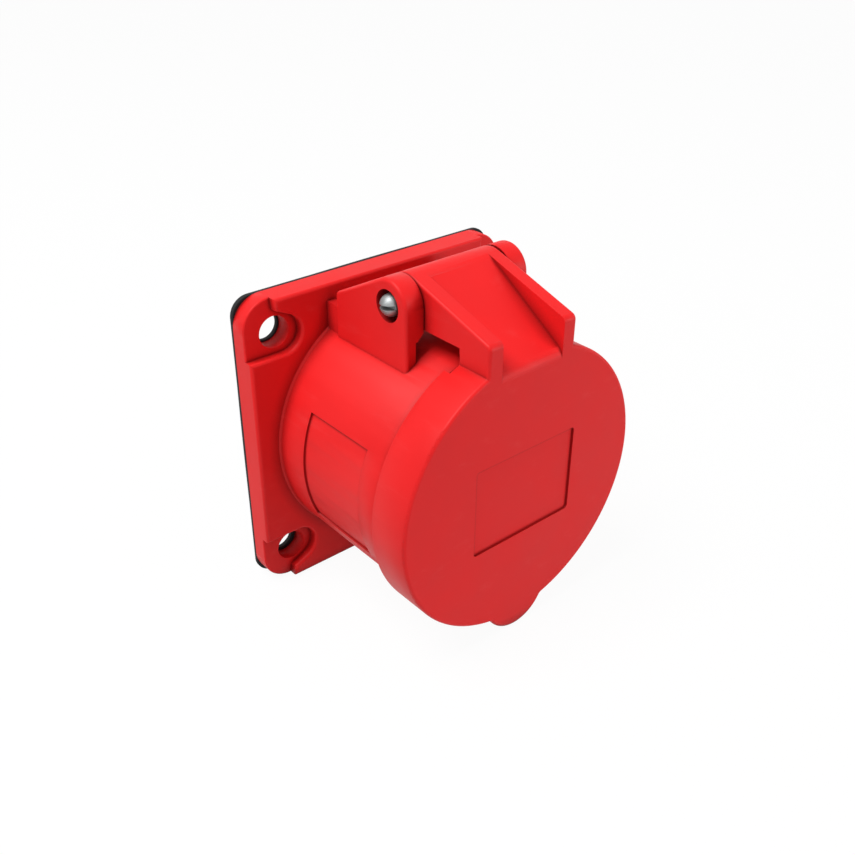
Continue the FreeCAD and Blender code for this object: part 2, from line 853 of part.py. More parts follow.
def hollow_arm(body):
    """Room for the spring: a round hollow in the knuckle and an open hollow under the web."""
    roof = "(roof_wall / cos(web_slope))"
    nose = f"({HINGE_FORWARD} + knuckle_radius)"
    under = side_sketch(body, "under_web_section")
    outline(under, [
        (nose, f"{web_line(nose)} - {roof}"),
        (nose, f"{HINGE_UP} - 2 * knuckle_radius"),
        (ARM_FOOT, f"{HINGE_UP} - 2 * knuckle_radius"),
        (ARM_FOOT, f"{web_line(ARM_FOOT)} - {roof}"),
    ])
    pocket(body, "under_web", under, f"2 * {RIB_INNER}", both_ways=True)
    room = side_sketch(body, "spring_room_circle")
    circle(room, "spring_room", HINGE_FORWARD, HINGE_UP)
    pocket(body, "spring_room_cut", room, "2 * spring_half", both_ways=True)
    far = "(2 * knuckle_radius)"
    mouth = side_sketch(body, "knuckle_mouth_section")
    outline(mouth, [
        (f"{nose} + {PAST}", HINGE_UP),
        (HINGE_FORWARD, HINGE_UP),
        (f"{HINGE_FORWARD} - {far} * sin(roof_reach)", f"{HINGE_UP} + {far} * cos(roof_reach)"),
        (f"{HINGE_FORWARD} - {far}", f"{HINGE_UP} + {far} * cos(roof_reach)"),
        (f"{HINGE_FORWARD} - {far}", f"{HINGE_UP} - {far}"),
        (f"{nose} + {PAST}", f"{HINGE_UP} - {far}"),
    ])
    pocket(body, "knuckle_mouth", mouth, "2 * spring_half", both_ways=True)
    bore = side_sketch(body, "knuckle_bore_circle")
    circle(bore, "pin_radius + pin_play", HINGE_FORWARD, HINGE_UP)
    pocket(body, "knuckle_bore", bore, f"2 * (arm_half + {PAST})", both_ways=True)
    tang = side_sketch(body, "tang_circle", "-spring_half")
    circle(tang, "wire_dia / 2 + tang_play", f"{HINGE_FORWARD} + coil_radius", f"{HINGE_UP} - tang_bend")
    pocket(body, "tang_hole", tang, "tang_length")


def notch_rim(body):
    """The notch in the back edge of the rim under the arm."""
    notch = front_sketch(body, "notch_outline", f"{LID_REAR} - {PAST}")
    rectangle(notch, "-notch_half", "notch_half", "0", "lid_radius")
    pocket(body, "rim_notch", notch, f"notch_depth + {PAST}", ahead=True)


def sink_label(body):
    label = front_sketch(body, "label_outline", LID_FRONT)
    rectangle(label, "-label_width / 2", "label_width / 2", "-label_height / 2", "label_height / 2")
    pocket(body, "label_recess", label, "label_depth")
    floor = value(f"{LID_FRONT} - label_depth")
    half = value("label_width / 2")

    def recess_corner(edge):
        middle = edge.CenterOfMass
        return runs_forward(edge) and close(abs(middle.x), half) and close(edge.BoundBox.YMax, -floor)

    fillet(body, "label_corners", "label_corner", recess_corner)


def make_lid_cover():
    body = new_body("lid_cover")
    make_cap(body)
    join(body, "arm", make_arm())
    cut_between_ribs(body)
    hollow_cap(body)
    hollow_arm(body)
    notch_rim(body)
    sink_label(body)
    return body


# Seal ring inside the lid

def make_lid_seal():
    body = new_body("lid_seal")
    ring = front_sketch(body, "seal_outline", f"{SPIGOT_FRONT} + seal_gap")
    circle(ring, "seal_outer")
    circle(ring, "seal_inner")
    pad(body, "seal_ring", ring, f"{LID_FLOOR} + seal_seat - {SPIGOT_FRONT} - seal_gap")
    return body


# Hinge screw, whose slotted head sits in the left ear

def make_hinge_screw():
    body = new_body("hinge_screw")
    seat = f"(-{EAR_OUTER} + head_sink)"
    tip = f"({EAR_OUTER} - pin_end_wall - pin_end_gap)"
    dome = "((head_radius * head_radius + head_dome * head_dome) / (2 * head_dome))"
    apex = f"({seat} - head_side - head_dome)"
    profile = top_sketch(body, "screw_profile")
    outline(profile, [
        (apex, "0"),
        (f"{seat} - head_side", "head_radius"),
        (seat, "head_radius"),
        (seat, "pin_radius"),
        (f"{tip} - pin_radius / 4", "pin_radius"),
        (tip, "3 * pin_radius / 4"),
        (tip, "0"),
    ], {0: (f"{apex} + {dome}", "0", -1)})
    revolve(body, "screw", profile)
    slot = side_sketch(body, "slot_outline", apex)
    rectangle(slot, "-head_radius - 1", "head_radius + 1", "-slot_width / 2", "slot_width / 2")
    pocket(body, "slot", slot, "slot_depth", ahead=True)
    body.Placement = FreeCAD.Placement(Vector(), FreeCAD.Rotation(Vector(-1, 0, 0), value("slot_tilt")))
    bind(body, ".Placement.Base.y", f"-{HINGE_FORWARD}")
    bind(body, ".Placement.Base.z", HINGE_UP)
    return body


# Torsion spring round the hinge screw

def spring_route():
    """A tang along +X, a bend into the coil, and a leg that leaves the coil towards the barrel."""
    coil = value("coil_radius")
    bend = value("tang_bend")
    lean = math.radians(180 + value("leg_angle"))
    length = (value("coil_turns") + lean / (2 * math.pi)) * value("coil_pitch")
    axis = Vector(0, -value(HINGE_FORWARD), value(HINGE_UP))
    helix = Part.makeHelix(value("coil_pitch"), length, coil, 0, True)
    helix.rotate(Vector(), Vector(0, 1, 0), 90)
    helix.rotate(Vector(), Vector(1, 0, 0), -90)
    helix.translate(axis - Vector(length / 2, 0, 0))
    first = helix.Edges[0]
    last = helix.Edges[-1]
    start = first.valueAt(first.FirstParameter)
    end = last.valueAt(last.LastParameter)
    out = last.tangentAt(last.LastParameter)
    into = first.tangentAt(first.FirstParameter)
    along = Vector(1, 0, 0)
    turn = into.getAngle(along)
    centre = start - (along - into * math.cos(turn)) * (bend / math.sin(turn))
    entry = centre - (into - along * math.cos(turn)) * (bend / math.sin(turn))
    middle = centre + ((entry + start) * 0.5 - centre).normalize() * bend
    tip = Vector(-value("spring_half + tang_length - tang_play"), entry.y, entry.z)
    barrel = math.sqrt(value("barrel_radius") ** 2 - (length / 2) ** 2)
    leg = (barrel + value("leg_gap") - end.z) / out.z
    tang = Part.LineSegment(tip, entry).toShape()
    bow = Part.Arc(entry, middle, start).toShape()
    return Part.Wire([tang, bow] + helix.Edges + [Part.LineSegment(end, end + out * leg).toShape()])


def make_hinge_spring():
    """The spring of eight-sided wire, swept along the route."""
    route = spring_route()
    first = route.OrderedEdges[0]
    start = first.valueAt(first.FirstParameter)
    corner = value("wire_dia / 2") / math.cos(math.pi / WIRE_SIDES)
    ring = []
    for number in range(WIRE_SIDES + 1):
        angle = 2 * math.pi * (number + 0.5) / WIRE_SIDES
        ring.append(start + Vector(0, corner * math.cos(angle), corner * math.sin(angle)))
    section = Part.makePolygon(ring)
    spring = document.addObject("Part::Feature", "hinge_spring")
    spring.Label = "hinge_spring"
    spring.Shape = route.makePipeShell([section], True, False)
    return spring


# Contact carrier, the holder of the terminals behind it and their rear cover

def make_contact_carrier():
    body = new_body("contact_carrier")
    profile = side_sketch(body, "carrier_profile")
    outline(profile, [
        ("block_front", "0"),
        ("block_front", "tail_radius"),
        (CARRIER_SEAT, "tail_radius"),
        (CARRIER_SEAT, CARRIER_FLANGE_RADIUS),
        (WEB_BACK, CARRIER_FLANGE_RADIUS),
        (WEB_BACK, "carrier_radius"),
        (CARRIER_FRONT, "carrier_radius"),
        (CARRIER_FRONT, "0"),
    ])
    revolve(body, "carrier", profile)
    entries = front_sketch(body, "entry_circles", CARRIER_FRONT)
    chambers = front_sketch(body, "chamber_circles", f"{CARRIER_FRONT} - entry_depth")
    for name, angle in CONTACTS.items():
        kind = kind_of(name)
        circle(entries, f"{kind}_pin / 2 + entry_play", *contact_place(angle))
        circle(chambers, chamber_radius(kind), *contact_place(angle))
    pocket(body, "entries", entries, "entry_depth")
    front = value(CARRIER_FRONT)
    outer = value("carrier_radius")

    def entry_mouth(edge):
        return forward_at(edge, front) and not around(edge, outer)

    chamfer(body, "entry_chamfers", "entry_chamfer", entry_mouth)
    pocket(body, "chambers", chambers, f"{CARRIER_FRONT} - entry_depth - block_front")
    centre = front_sketch(body, "cover_hole_circle", "block_front")
    circle(centre, "cover_shank + thread_play")
    pocket(body, "cover_hole", centre, "cover_grip + contact_gap", ahead=True)
    holes = front_sketch(body, "flange_hole_circles", WEB_BACK)
    for side in (1, -1):
        circle(holes, "fixing_shank + carrier_play", f"{side} * fixing_radius")
    pocket(body, "flange_holes", holes, "carrier_flange")
    return body


def make_terminal_holder():
    """The block behind the carrier, with a chamber and a screwdriver hole for each terminal."""
    body = new_body("terminal_holder")
    disc = front_sketch(body, "holder_outline", "-carrier_tail")
    circle(disc, "tail_radius")
    circle(disc, "cover_shank + carrier_play")
    for name, angle in CONTACTS.items():
        circle(disc, f"{block_radius(kind_of(name))} + chamber_play", *contact_place(angle))
    pad(body, "holder", disc, "carrier_tail + block_front")
    access = top_sketch(body, "access_circle", "-pitch_radius")
    circle(access, "clamp_access", "0", "clamp_behind")
    tunnel = pocket(body, "clamp_hole", access, f"tail_radius + {PAST}")
    repeat_around(body, "clamp_holes", [tunnel], len(CONTACTS))
    return body


def make_carrier_cover():
    body = new_body("carrier_cover")
    back = "-(carrier_tail + cover_thick)"
    disc = front_sketch(body, "cover_outline", back)
    circle(disc, "tail_radius")
    circle(disc, "cover_shank + carrier_play")
    for angle in CONTACTS.values():
        circle(disc, "cable_hole / 2", *contact_place(angle))
    pad(body, "cover", disc, "cover_thick")
    return body


# Contacts: a slit sleeve in front and a terminal block behind, each with a spring band round the sleeve

def place_contact(body, angle):
    """Turn the body so that its own +X points outwards, and move it to the pitch circle."""
    across, up = contact_place(angle)
    body.Placement = FreeCAD.Placement(Vector(), FreeCAD.Rotation(Vector(0, -1, 0), angle))
    bind(body, ".Placement.Base.x", across)
    bind(body, ".Placement.Base.z", up)


def make_contact(name, angle):
    kind = kind_of(name)
    bore = f"({kind}_pin / 2 + pin_slack)"
    back = "(block_gap - carrier_tail)"
    body = new_body(f"contact_{name}")
    profile = side_sketch(body, f"contact_profile_{name}")
    outline(profile, [
        (CONTACT_FRONT, bore),
        (CONTACT_FRONT, sleeve_radius(kind)),
        ("block_front", sleeve_radius(kind)),
        ("block_front", block_radius(kind)),
        (back, block_radius(kind)),
        (back, "wire_bore / 2"),
        (f"{back} + wire_depth", "wire_bore / 2"),
        (f"{back} + wire_depth", "0"),
        (f"{CONTACT_FRONT} - sleeve_depth", "0"),
        (f"{CONTACT_FRONT} - sleeve_depth", bore),
    ])
    revolve(body, f"sleeve_{name}", profile)
    slit = side_sketch(body, f"slit_outline_{name}")
    wide = f"({sleeve_radius(kind)} + {PAST})"
    rectangle(slit, f"{CONTACT_FRONT} - slit_length", f"{CONTACT_FRONT} + {PAST}", f"-{wide}", wide)
    cut = pocket(body, f"slit_{name}", slit, "sleeve_slit", both_ways=True)
    repeat_around(body, f"slits_{name}", [cut], 2, 90.0)
    hole = side_sketch(body, f"clamp_circle_{name}")
    circle(hole, "clamp_radius + thread_play", "-clamp_behind")
    pocket(body, f"clamp_thread_{name}", hole, f"{block_radius(kind)} + {PAST}", ahead=True)
    place_contact(body, angle)
    return body


def make_band(name, angle):
    """The open ring that presses the slit sleeve together."""
    kind = kind_of(name)
    body = new_body(f"ring_{name}")
    profile = side_sketch(body, f"ring_profile_{name}")
    front = f"({CONTACT_FRONT} - band_setback)"
    rectangle(profile, f"{front} - band_width", front, f"{sleeve_radius(kind)} + band_fit", band_radius(kind))
    ring = revolve(body, f"band_{name}", profile)
    bind(ring, "Angle", "band_angle")
    place_contact(body, angle)
    return body


# Screws inside the socket

def make_terminal_screws():
    """One slotted screw in each terminal block, pointing at the socket's axis."""
    body = new_body("terminal_screws")
    inner = "(pitch_radius + clamp_start)"
    outer = f"({inner} + clamp_length)"
    profile = top_sketch(body, "clamp_profile")
    bind(profile, ".AttachmentOffset.Base.y", "clamp_behind")
    outline(profile, [
        (inner, "0"),
        (inner, "clamp_radius / 2"),
        (f"{inner} + clamp_radius / 2", "clamp_radius"),
        (outer, "clamp_radius"),
        (outer, "0"),
    ])
    screw = revolve(body, "clamp_screw", profile)
    slot = side_sketch(body, "clamp_slot_outline", outer)
    wide = f"(clamp_radius + {PAST})"
    rectangle(slot, f"-clamp_behind - {wide}", f"-clamp_behind + {wide}", "-clamp_slot / 2", "clamp_slot / 2")
    cut = pocket(body, "clamp_slot_cut", slot, "clamp_slot")
    repeat_around(body, "clamp_screws", [screw, cut], len(CONTACTS))
    body.Placement = FreeCAD.Placement(Vector(), FreeCAD.Rotation(Vector(0, -1, 0), EARTH_ANGLE))
    return body


def make_slotted_screws(name, places, back, head, shank, head_depth, reach, slot):
    """Pan-head screws that point forward, with the back of each head at the same distance."""
    body = new_body(name)
    heads = front_sketch(body, f"{name}_heads", back)
    shanks = front_sketch(body, f"{name}_shanks", f"{back} + {head_depth}")
    slots = front_sketch(body, f"{name}_slots", back)
    for place in places:
        circle(heads, head, place)
        circle(shanks, shank, place)
        wide = f"({head} + {PAST})"
        rectangle(slots, f"{place} - {wide}", f"{place} + {wide}", f"-{slot} / 2", f"{slot} / 2")
    pad(body, f"{name}_head", heads, head_depth)
    pad(body, f"{name}_shank", shanks, reach)
    pocket(body, f"{name}_slot", slots, f"{head_depth} / 2", ahead=True)
    return body


def make_carrier_screws():
    back = f"({CARRIER_SEAT} - fixing_head_depth)"
    places = ["fixing_radius", "-fixing_radius"]
    reach = "carrier_flange + fixing_grip"
    sizes = ("fixing_head", "fixing_shank", "fixing_head_depth", reach, "fixing_slot")
    return make_slotted_screws("carrier_screws", places, back, *sizes)


def make_cover_screw():
    back = "-(carrier_tail + cover_thick + cover_head_depth)"
    reach = "cover_thick + carrier_tail + block_front + cover_grip"
    sizes = ("cover_head", "cover_shank", "cover_head_depth", reach, "fixing_slot")
    return make_slotted_screws("cover_screw", ["0"], back, *sizes)


def make_all():
    pieces = [
        make_flange_gasket(),
        make_socket_housing(),
        make_lid_cover(),
        make_lid_seal(),
        make_hinge_screw(),
        make_hinge_spring(),
        make_contact_carrier(),
        make_terminal_holder(),
        make_carrier_cover(),
        make_terminal_screws(),
        make_carrier_screws(),
        make_cover_screw(),
    ]
    for name, angle in CONTACTS.items():
        pieces.append(make_contact(name, angle))
        pieces.append(make_band(name, angle))
    document.recompute()
    return pieces


def export(pieces):
    for item in document.Objects:
        if "Invalid" in item.State or "Error" in item.State:
            raise RuntimeError(f"{item.Name} failed")
    for piece in pieces:
        if piece.Shape.isNull() or not piece.Shape.isValid():
            raise RuntimeError(f"{piece.Label} has no valid shape")
    os.makedirs("parts", exist_ok=True)
    for piece in pieces:
        piece.Shape.exportStep(f"parts/{piece.Label}.step")


export(make_all())
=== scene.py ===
import math

import bmesh
import bpy
from bpy.props import FloatProperty, FloatVectorProperty, IntProperty, PointerProperty
from bpy.types import NodeSocket, Operator, Panel, PropertyGroup
from mathutils import Matrix, Vector


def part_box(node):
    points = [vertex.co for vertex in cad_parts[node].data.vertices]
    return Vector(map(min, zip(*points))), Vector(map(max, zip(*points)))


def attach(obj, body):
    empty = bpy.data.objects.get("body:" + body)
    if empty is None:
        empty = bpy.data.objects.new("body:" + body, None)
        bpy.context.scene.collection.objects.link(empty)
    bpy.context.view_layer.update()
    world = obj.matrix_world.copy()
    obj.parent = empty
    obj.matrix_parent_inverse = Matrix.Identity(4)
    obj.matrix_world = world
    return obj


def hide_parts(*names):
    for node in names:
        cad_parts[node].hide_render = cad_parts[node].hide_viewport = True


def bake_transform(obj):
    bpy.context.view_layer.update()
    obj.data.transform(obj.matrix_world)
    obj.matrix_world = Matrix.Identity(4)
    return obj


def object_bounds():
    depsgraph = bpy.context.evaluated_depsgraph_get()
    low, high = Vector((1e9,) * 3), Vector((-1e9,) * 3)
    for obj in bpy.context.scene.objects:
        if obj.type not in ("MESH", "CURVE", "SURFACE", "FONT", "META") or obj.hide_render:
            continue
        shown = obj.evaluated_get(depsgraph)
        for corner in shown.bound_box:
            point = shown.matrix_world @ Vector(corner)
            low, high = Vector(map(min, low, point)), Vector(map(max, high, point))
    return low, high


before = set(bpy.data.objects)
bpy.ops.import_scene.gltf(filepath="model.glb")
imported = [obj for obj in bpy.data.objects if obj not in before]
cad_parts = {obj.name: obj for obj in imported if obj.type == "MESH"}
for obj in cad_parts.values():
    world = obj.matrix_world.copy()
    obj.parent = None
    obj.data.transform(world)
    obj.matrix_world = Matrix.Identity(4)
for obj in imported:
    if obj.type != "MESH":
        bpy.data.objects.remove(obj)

bl_info = {
    "name": "Panel Socket",
    "version": (1, 0, 0),
    "blender": (4, 5, 0),
    "location": "View3D > Sidebar > Panel Socket",
    "description": "Dresses the packed parts of a five-pole panel socket and sets its stage",
    "category": "Object",
}

CAD_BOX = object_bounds()

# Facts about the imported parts
HOUSING = "housing"
LID = "lid"
HINGE_BACK = -0.0298
HINGE_HEIGHT = 0.0402
HINGE_CENTRE = (0.0, HINGE_BACK, HINGE_HEIGHT)
FIXING_ACROSS = 0.0298
FIXING_UP = 0.0292
FIXING_RADIUS = 0.0038
RED_NODES = ("socket_housing", "lid_cover")
GREY_NODES = ("contact_carrier", "carrier_cover")
SHARP_GREY_NODES = ("terminal_holder",)
CONTACT_NODES = ("contact_l1", "contact_l2", "contact_l3", "contact_n", "contact_pe")
BAND_NODES = ("ring_l1", "ring_l2", "ring_l3", "ring_n", "ring_pe")
SCREW_NODES = ("terminal_screws", "carrier_screws", "cover_screw")

# Steps that the round forms are drawn in
BORE_STEPS = 96
HOLE_STEPS = 40
SIDE_STEPS = 24
CORNER_STEPS = 12
SEAL_STEPS = 144
SCREW_STEPS = 64
COIL_STEPS = 40
SMALL_ARC_STEPS = 8

# Edges above these angles are rounded or shaded as sharp. Points this near are joined before that.
ROUNDED_ANGLE = math.radians(40)
SHARP_ANGLE = math.radians(35)
JOIN_DISTANCE = 0.000002

PAINTED_SHADE_BLACK = (0.0, 0.0, 0.0, 1.0)
WHITE = (1.0, 1.0, 1.0, 1.0)


# Settings that a user would change

def colour_setting(name, description, default):
    return FloatVectorProperty(
        name=name, description=description, subtype="COLOR", size=4, min=0.0, max=1.0, default=default)


def length_setting(name, description, default):
    return FloatProperty(
        name=name, description=description, unit="LENGTH", precision=5, min=0.0, default=default)


def share_setting(name, description, default):
    return FloatProperty(
        name=name, description=description, subtype="FACTOR", min=0.0, max=1.0, default=default)


def number_setting(name, description, default):
    return FloatProperty(name=name, description=description, min=0.0, default=default)


def angle_setting(name, description, degrees):
    return FloatProperty(
        name=name, description=description, unit="ROTATION", default=math.radians(degrees))


def place_setting(name, description, default):
    return FloatVectorProperty(
        name=name, description=description, subtype="TRANSLATION", unit="LENGTH", precision=5,
        default=default)


class MouldingSettings(PropertyGroup):
    """The red and grey plastic mouldings."""

    red: colour_setting("Red", "Colour of the housing and the lid", (0.76, 0.013, 0.014, 1.0))
    rubbed_red: colour_setting("Rubbed red", "Colour of their rubbed places", (0.85, 0.10, 0.10, 1.0))
    grey: colour_setting(
        "Grey", "Colour of the contact carrier, the terminal holder and their cover",
        (0.19, 0.20, 0.21, 1.0))
    rubbed_grey: colour_setting("Rubbed grey", "Colour of their rubbed places", (0.30, 0.31, 0.32, 1.0))
    rub_share: share_setting("Rub share", "How much of the rubbed colour shows", 0.12)
    rub_size: length_setting("Rub size", "Width of the rubbed places", 0.007)
    mottle_size: length_setting("Mottle size", "Width of the flow marks in the plastic", 0.014)
    roughness: share_setting("Roughness", "Roughness of the moulded skin", 0.46)
    grain_size: length_setting("Grain size", "Width of the tool's fine texture", 0.00035)
    grain_depth: length_setting("Grain depth", "Depth of the tool's fine texture", 0.000006)
    gloss: share_setting("Gloss", "Strength of the moulded skin's reflections", 0.18)
    edge_radius: length_setting("Edge radius", "Radius of the mouldings' small edges", 0.00022)
    # These four settings size the painted shade: the colour is darkened towards black along seams and
    # in recesses and hollows, where shade falls.
    seam_shade_reach: length_setting("Seam reach", "Width of the dark line along seams", 0.0009)
    seam_shade_depth: share_setting("Seam depth", "How dark that line is", 0.55)
    hollow_shade_reach: length_setting("Hollow reach", "Width of the shade in hollows and pockets", 0.0050)
    hollow_shade_depth: share_setting("Hollow depth", "How dark that shade is", 0.75)


class RubberSettings(PropertyGroup):
    """The gasket behind the flange and the seal inside the lid."""

    black: colour_setting("Black", "Colour of the gasket", (0.012, 0.012, 0.013, 1.0))
    seal_grey: colour_setting("Seal grey", "Colour of the lid's seal", (0.11, 0.11, 0.115, 1.0))
    grain_size: length_setting("Grain size", "Width of the rubber's coarse skin", 0.0006)
    grain_depth: length_setting("Grain depth", "Depth of the rubber's coarse skin", 0.00002)
    mottle_size: length_setting("Mottle size", "Width of its duller and smoother places", 0.006)
    dust_size: length_setting("Dust size", "Width of its dusty places", 0.004)
    dust_share: share_setting("Dust share", "How much of the dust shows", 0.35)
    gloss: share_setting("Gloss", "Strength of the rubber's reflections", 0.25)
    corner_radius: length_setting("Corner radius", "Radius of the gasket's corners", 0.0046)
    bore_radius: length_setting("Bore radius", "Radius of the gasket's bore", 0.0299)
    edge_radius: length_setting("Edge radius", "Radius of the gasket's cut edges", 0.00025)
    bulge: length_setting("Bulge", "How far the gasket swells between the fixing holes", 0.0001)
    hole_drift: length_setting("Hole drift", "How far the lower holes sit out of line", 0.0005)
    squeeze: length_setting(
        "Squeeze", "How far the clamped gasket spreads, also into its fixing holes", 0.0004)
    seal_bore: length_setting("Seal bore", "Inner radius of the seal", 0.0278)
    seal_crown: share_setting("Seal crown", "How much of the seal's depth is crowned", 0.55)
    seal_crown_width: share_setting("Seal crown width", "How much of its width is crowned", 0.86)


class MetalSettings(PropertyGroup):
    """Screws, contacts and the springs."""

    zinc: colour_setting("Zinc", "Colour of the plated screws", (0.33, 0.35, 0.35, 1.0))
    brass: colour_setting("Brass", "Colour of the contacts", (0.76, 0.55, 0.25, 1.0))
    steel: colour_setting("Steel", "Colour of the springs", (0.50, 0.50, 0.51, 1.0))
    edge_radius: length_setting("Edge radius", "Radius of the edges of screws and contacts", 0.00006)
    band_edge: length_setting("Band edge", "Radius of the ring springs' edges", 0.00005)
    wire_radius: length_setting("Wire radius", "Radius of the hinge spring's wire", 0.0005)
    wire_sides: IntProperty(
        name="Wire sides", description="Sides of that wire", min=8, max=32, default=16)
    coil_radius: length_setting("Coil radius", "Radius of the hinge spring's coils", 0.0033)
    coil_pitch: length_setting("Coil pitch", "Distance from one coil to the next", 0.0013)
    coil_turns: number_setting(
        "Coil turns", "Number of coils, with the part of a turn to the leg", 6 + 190 / 360)
    tang_bend: length_setting("Tang bend", "Radius of the bend between the tang and the coils", 0.001)
    shank_radius: length_setting("Shank radius", "Radius of the hinge screw's shank", 0.0020)
    seat_depth: length_setting("Seat depth", "How far in the hinge screw's head is seated", 0.0022)
    head_radius: length_setting("Head radius", "Radius of the hinge screw's head", 0.0025)
    head_height: length_setting("Head height", "Height of that head over its seat", 0.0046)
    head_dome: length_setting("Head dome", "How much of that height is domed", 0.0024)
    slot_width: length_setting("Slot width", "Width of that head's slot", 0.0009)
    slot_depth: length_setting("Slot depth", "Depth of that head's slot", 0.0018)
    slot_tilt: angle_setting("Slot tilt", "How far that slot is turned from level", 6)


class StageSettings(PropertyGroup):
    """Floor, lamps and camera."""

    floor_colour: colour_setting("Floor", "Colour of the floor", (0.90, 0.90, 0.90, 1.0))
    bounce_share: share_setting("Bounce", "How much of its light the floor throws back", 0.62)
    shadow_share: share_setting("Shadow", "How much of the shadow on the floor shows", 0.05)
    sky_level: number_setting("Sky level", "Strength of the light from all round", 0.40)
    aim: place_setting("Aim", "What both lamps point at", (0.0, -0.025, 0.0))
    key_place: place_setting("Key place", "Where the upper left lamp hangs", (-0.40, 0.03, 0.78))
    key_size: length_setting("Key size", "Side of that lamp", 0.45)
    key_level: number_setting("Key level", "Brightness that it gives a white surface", 0.95)
    front_place: place_setting("Front place", "Where the right front lamp stands", (0.50, -0.80, 0.05))
    front_size: length_setting("Front size", "Side of that lamp", 0.5)
    front_level: number_setting("Front level", "Brightness that it gives a white surface", 0.48)
    camera_place: place_setting(
        "Camera place", "Where the camera stands", (-0.13206, -0.17655, 0.12281))
    azimuth: angle_setting("Azimuth", "How far the camera stands to the right of the front", -40.59)
    elevation: angle_setting("Elevation", "How far the camera looks down", 30.92)
    roll: angle_setting("Roll", "How far the camera is tilted about its own line of sight", 0.40)
    lens: FloatProperty(
        name="Lens", description="Focal length on a 36 mm sensor", unit="CAMERA", min=1.0,
        default=41.67)


# Node trees

def add_node(tree, kind, values=None, **fields):
    """A new node with its plain fields and its input values set."""
    node = tree.nodes.new(kind)
    for field, value in fields.items():
        setattr(node, field, value)
    for socket, value in (values or {}).items():
        node.inputs[socket].default_value = value
    return node


def feed(tree, value, socket):
    """Give a socket another node's output or a plain value."""
    if isinstance(value, NodeSocket):
        tree.links.new(value, socket)
    else:
        socket.default_value = value


def reckon(tree, operation, first, second):
    """Two values put together, each of them a number or another node's output."""
    node = add_node(tree, "ShaderNodeMath", operation=operation)
    feed(tree, first, node.inputs[0])
    feed(tree, second, node.inputs[1])
    return node.outputs[0]


def mixed(tree, mask, first, second):
    """A colour that goes from the first to the second by a mask."""
    node = add_node(tree, "ShaderNodeMix", data_type="RGBA")
    feed(tree, mask, node.inputs["Factor"])
    feed(tree, first, node.inputs["A"])
    feed(tree, second, node.inputs["B"])
    return node.outputs["Result"]


def spread(tree, source, low=0.0, high=1.0, to_low=0.0, to_high=1.0):
    """The source's range from low to high drawn out to another range."""
    node = add_node(tree, "ShaderNodeMapRange", {1: low, 2: high, 3: to_low, 4: to_high})
    tree.links.new(source, node.inputs["Value"])
    return node.outputs["Result"]


def open_group(name, inputs, outputs):
    """An empty node group with named inputs and float outputs, and its two end nodes."""
    tree = bpy.data.node_groups.new(name, "ShaderNodeTree")
    for label, default in inputs.items():
        kind = "NodeSocketVector" if isinstance(default, tuple) else "NodeSocketFloat"
        socket = tree.interface.new_socket(name=label, in_out="INPUT", socket_type=kind)
        socket.default_value = default
    for label in outputs:
        tree.interface.new_socket(name=label, in_out="OUTPUT", socket_type="NodeSocketFloat")
    return tree, tree.nodes.new("NodeGroupInput"), tree.nodes.new("NodeGroupOutput")


def per_metre(tree, source, label):
    """How many times the labelled size fits into a metre, as a texture's scale."""
    return reckon(tree, "DIVIDE", 1.0, source.outputs[label])


def noise(tree, source, label, place, detail, roughness):
    """Noise whose blots have the labelled size."""
    node = add_node(tree, "ShaderNodeTexNoise", {"Detail": detail, "Roughness": roughness})
    tree.links.new(per_metre(tree, source, label), node.inputs["Scale"])
    tree.links.new(place, node.inputs["Vector"])
    return node.outputs["Fac"]


def occlusion_shade_mask(tree, source, label, open_share, shut_share):
    """How shut in the surface is within the labelled reach, times the labelled depth: a mask for
    painted shade.
    """
    near = add_node(tree, "ShaderNodeAmbientOcclusion", samples=8)
    tree.links.new(source.outputs[label + " Reach"], near.inputs["Distance"])
    shut = spread(tree, near.outputs["AO"], open_share, shut_share)
    return reckon(tree, "MULTIPLY", shut, source.outputs[label + " Depth"])


def skin_group():
    """Fine tool texture, slow mottling, a few rubbed places and a mask of painted shade in seams and
    hollows.
    """
    found = bpy.data.node_groups.get("moulded_skin")
    if found:
        return found
    inputs = {"Grain Size": 0.0004, "Mottle Size": 0.012, "Rub Size": 0.006,
              "Seam Reach": 0.0009, "Seam Depth": 0.5, "Hollow Reach": 0.005, "Hollow Depth": 0.6}
    tree, source, sink = open_group("moulded_skin", inputs, ("Height", "Mottle", "Rub", "Painted Shade"))
    place = add_node(tree, "ShaderNodeTexCoord").outputs["Object"]
    slanted = {"Rotation": (0.4, 0.2, 0.9), "Scale": (1.0, 0.35, 2.2)}
    stretch = add_node(tree, "ShaderNodeMapping", slanted)
    tree.links.new(place, stretch.inputs["Vector"])
    grain = noise(tree, source, "Grain Size", place, detail=2.0, roughness=0.5)
    mottle = noise(tree, source, "Mottle Size", place, detail=3.0, roughness=0.55)
    rub = noise(tree, source, "Rub Size", stretch.outputs["Vector"], detail=6.0, roughness=0.7)
    # Painted shade: the colour is darkened along seams and in hollows by how shut in the surface is,
    # where shade falls.
    seam_shade = occlusion_shade_mask(tree, source, "Seam", open_share=0.97, shut_share=0.70)
    hollow_shade = occlusion_shade_mask(tree, source, "Hollow", open_share=0.88, shut_share=0.30)
    tree.links.new(grain, sink.inputs["Height"])
    tree.links.new(spread(tree, mottle, low=0.3, high=0.7), sink.inputs["Mottle"])
    tree.links.new(spread(tree, rub, low=0.58, high=0.74), sink.inputs["Rub"])
    tree.links.new(reckon(tree, "MAXIMUM", seam_shade, hollow_shade), sink.inputs["Painted Shade"])
    return tree


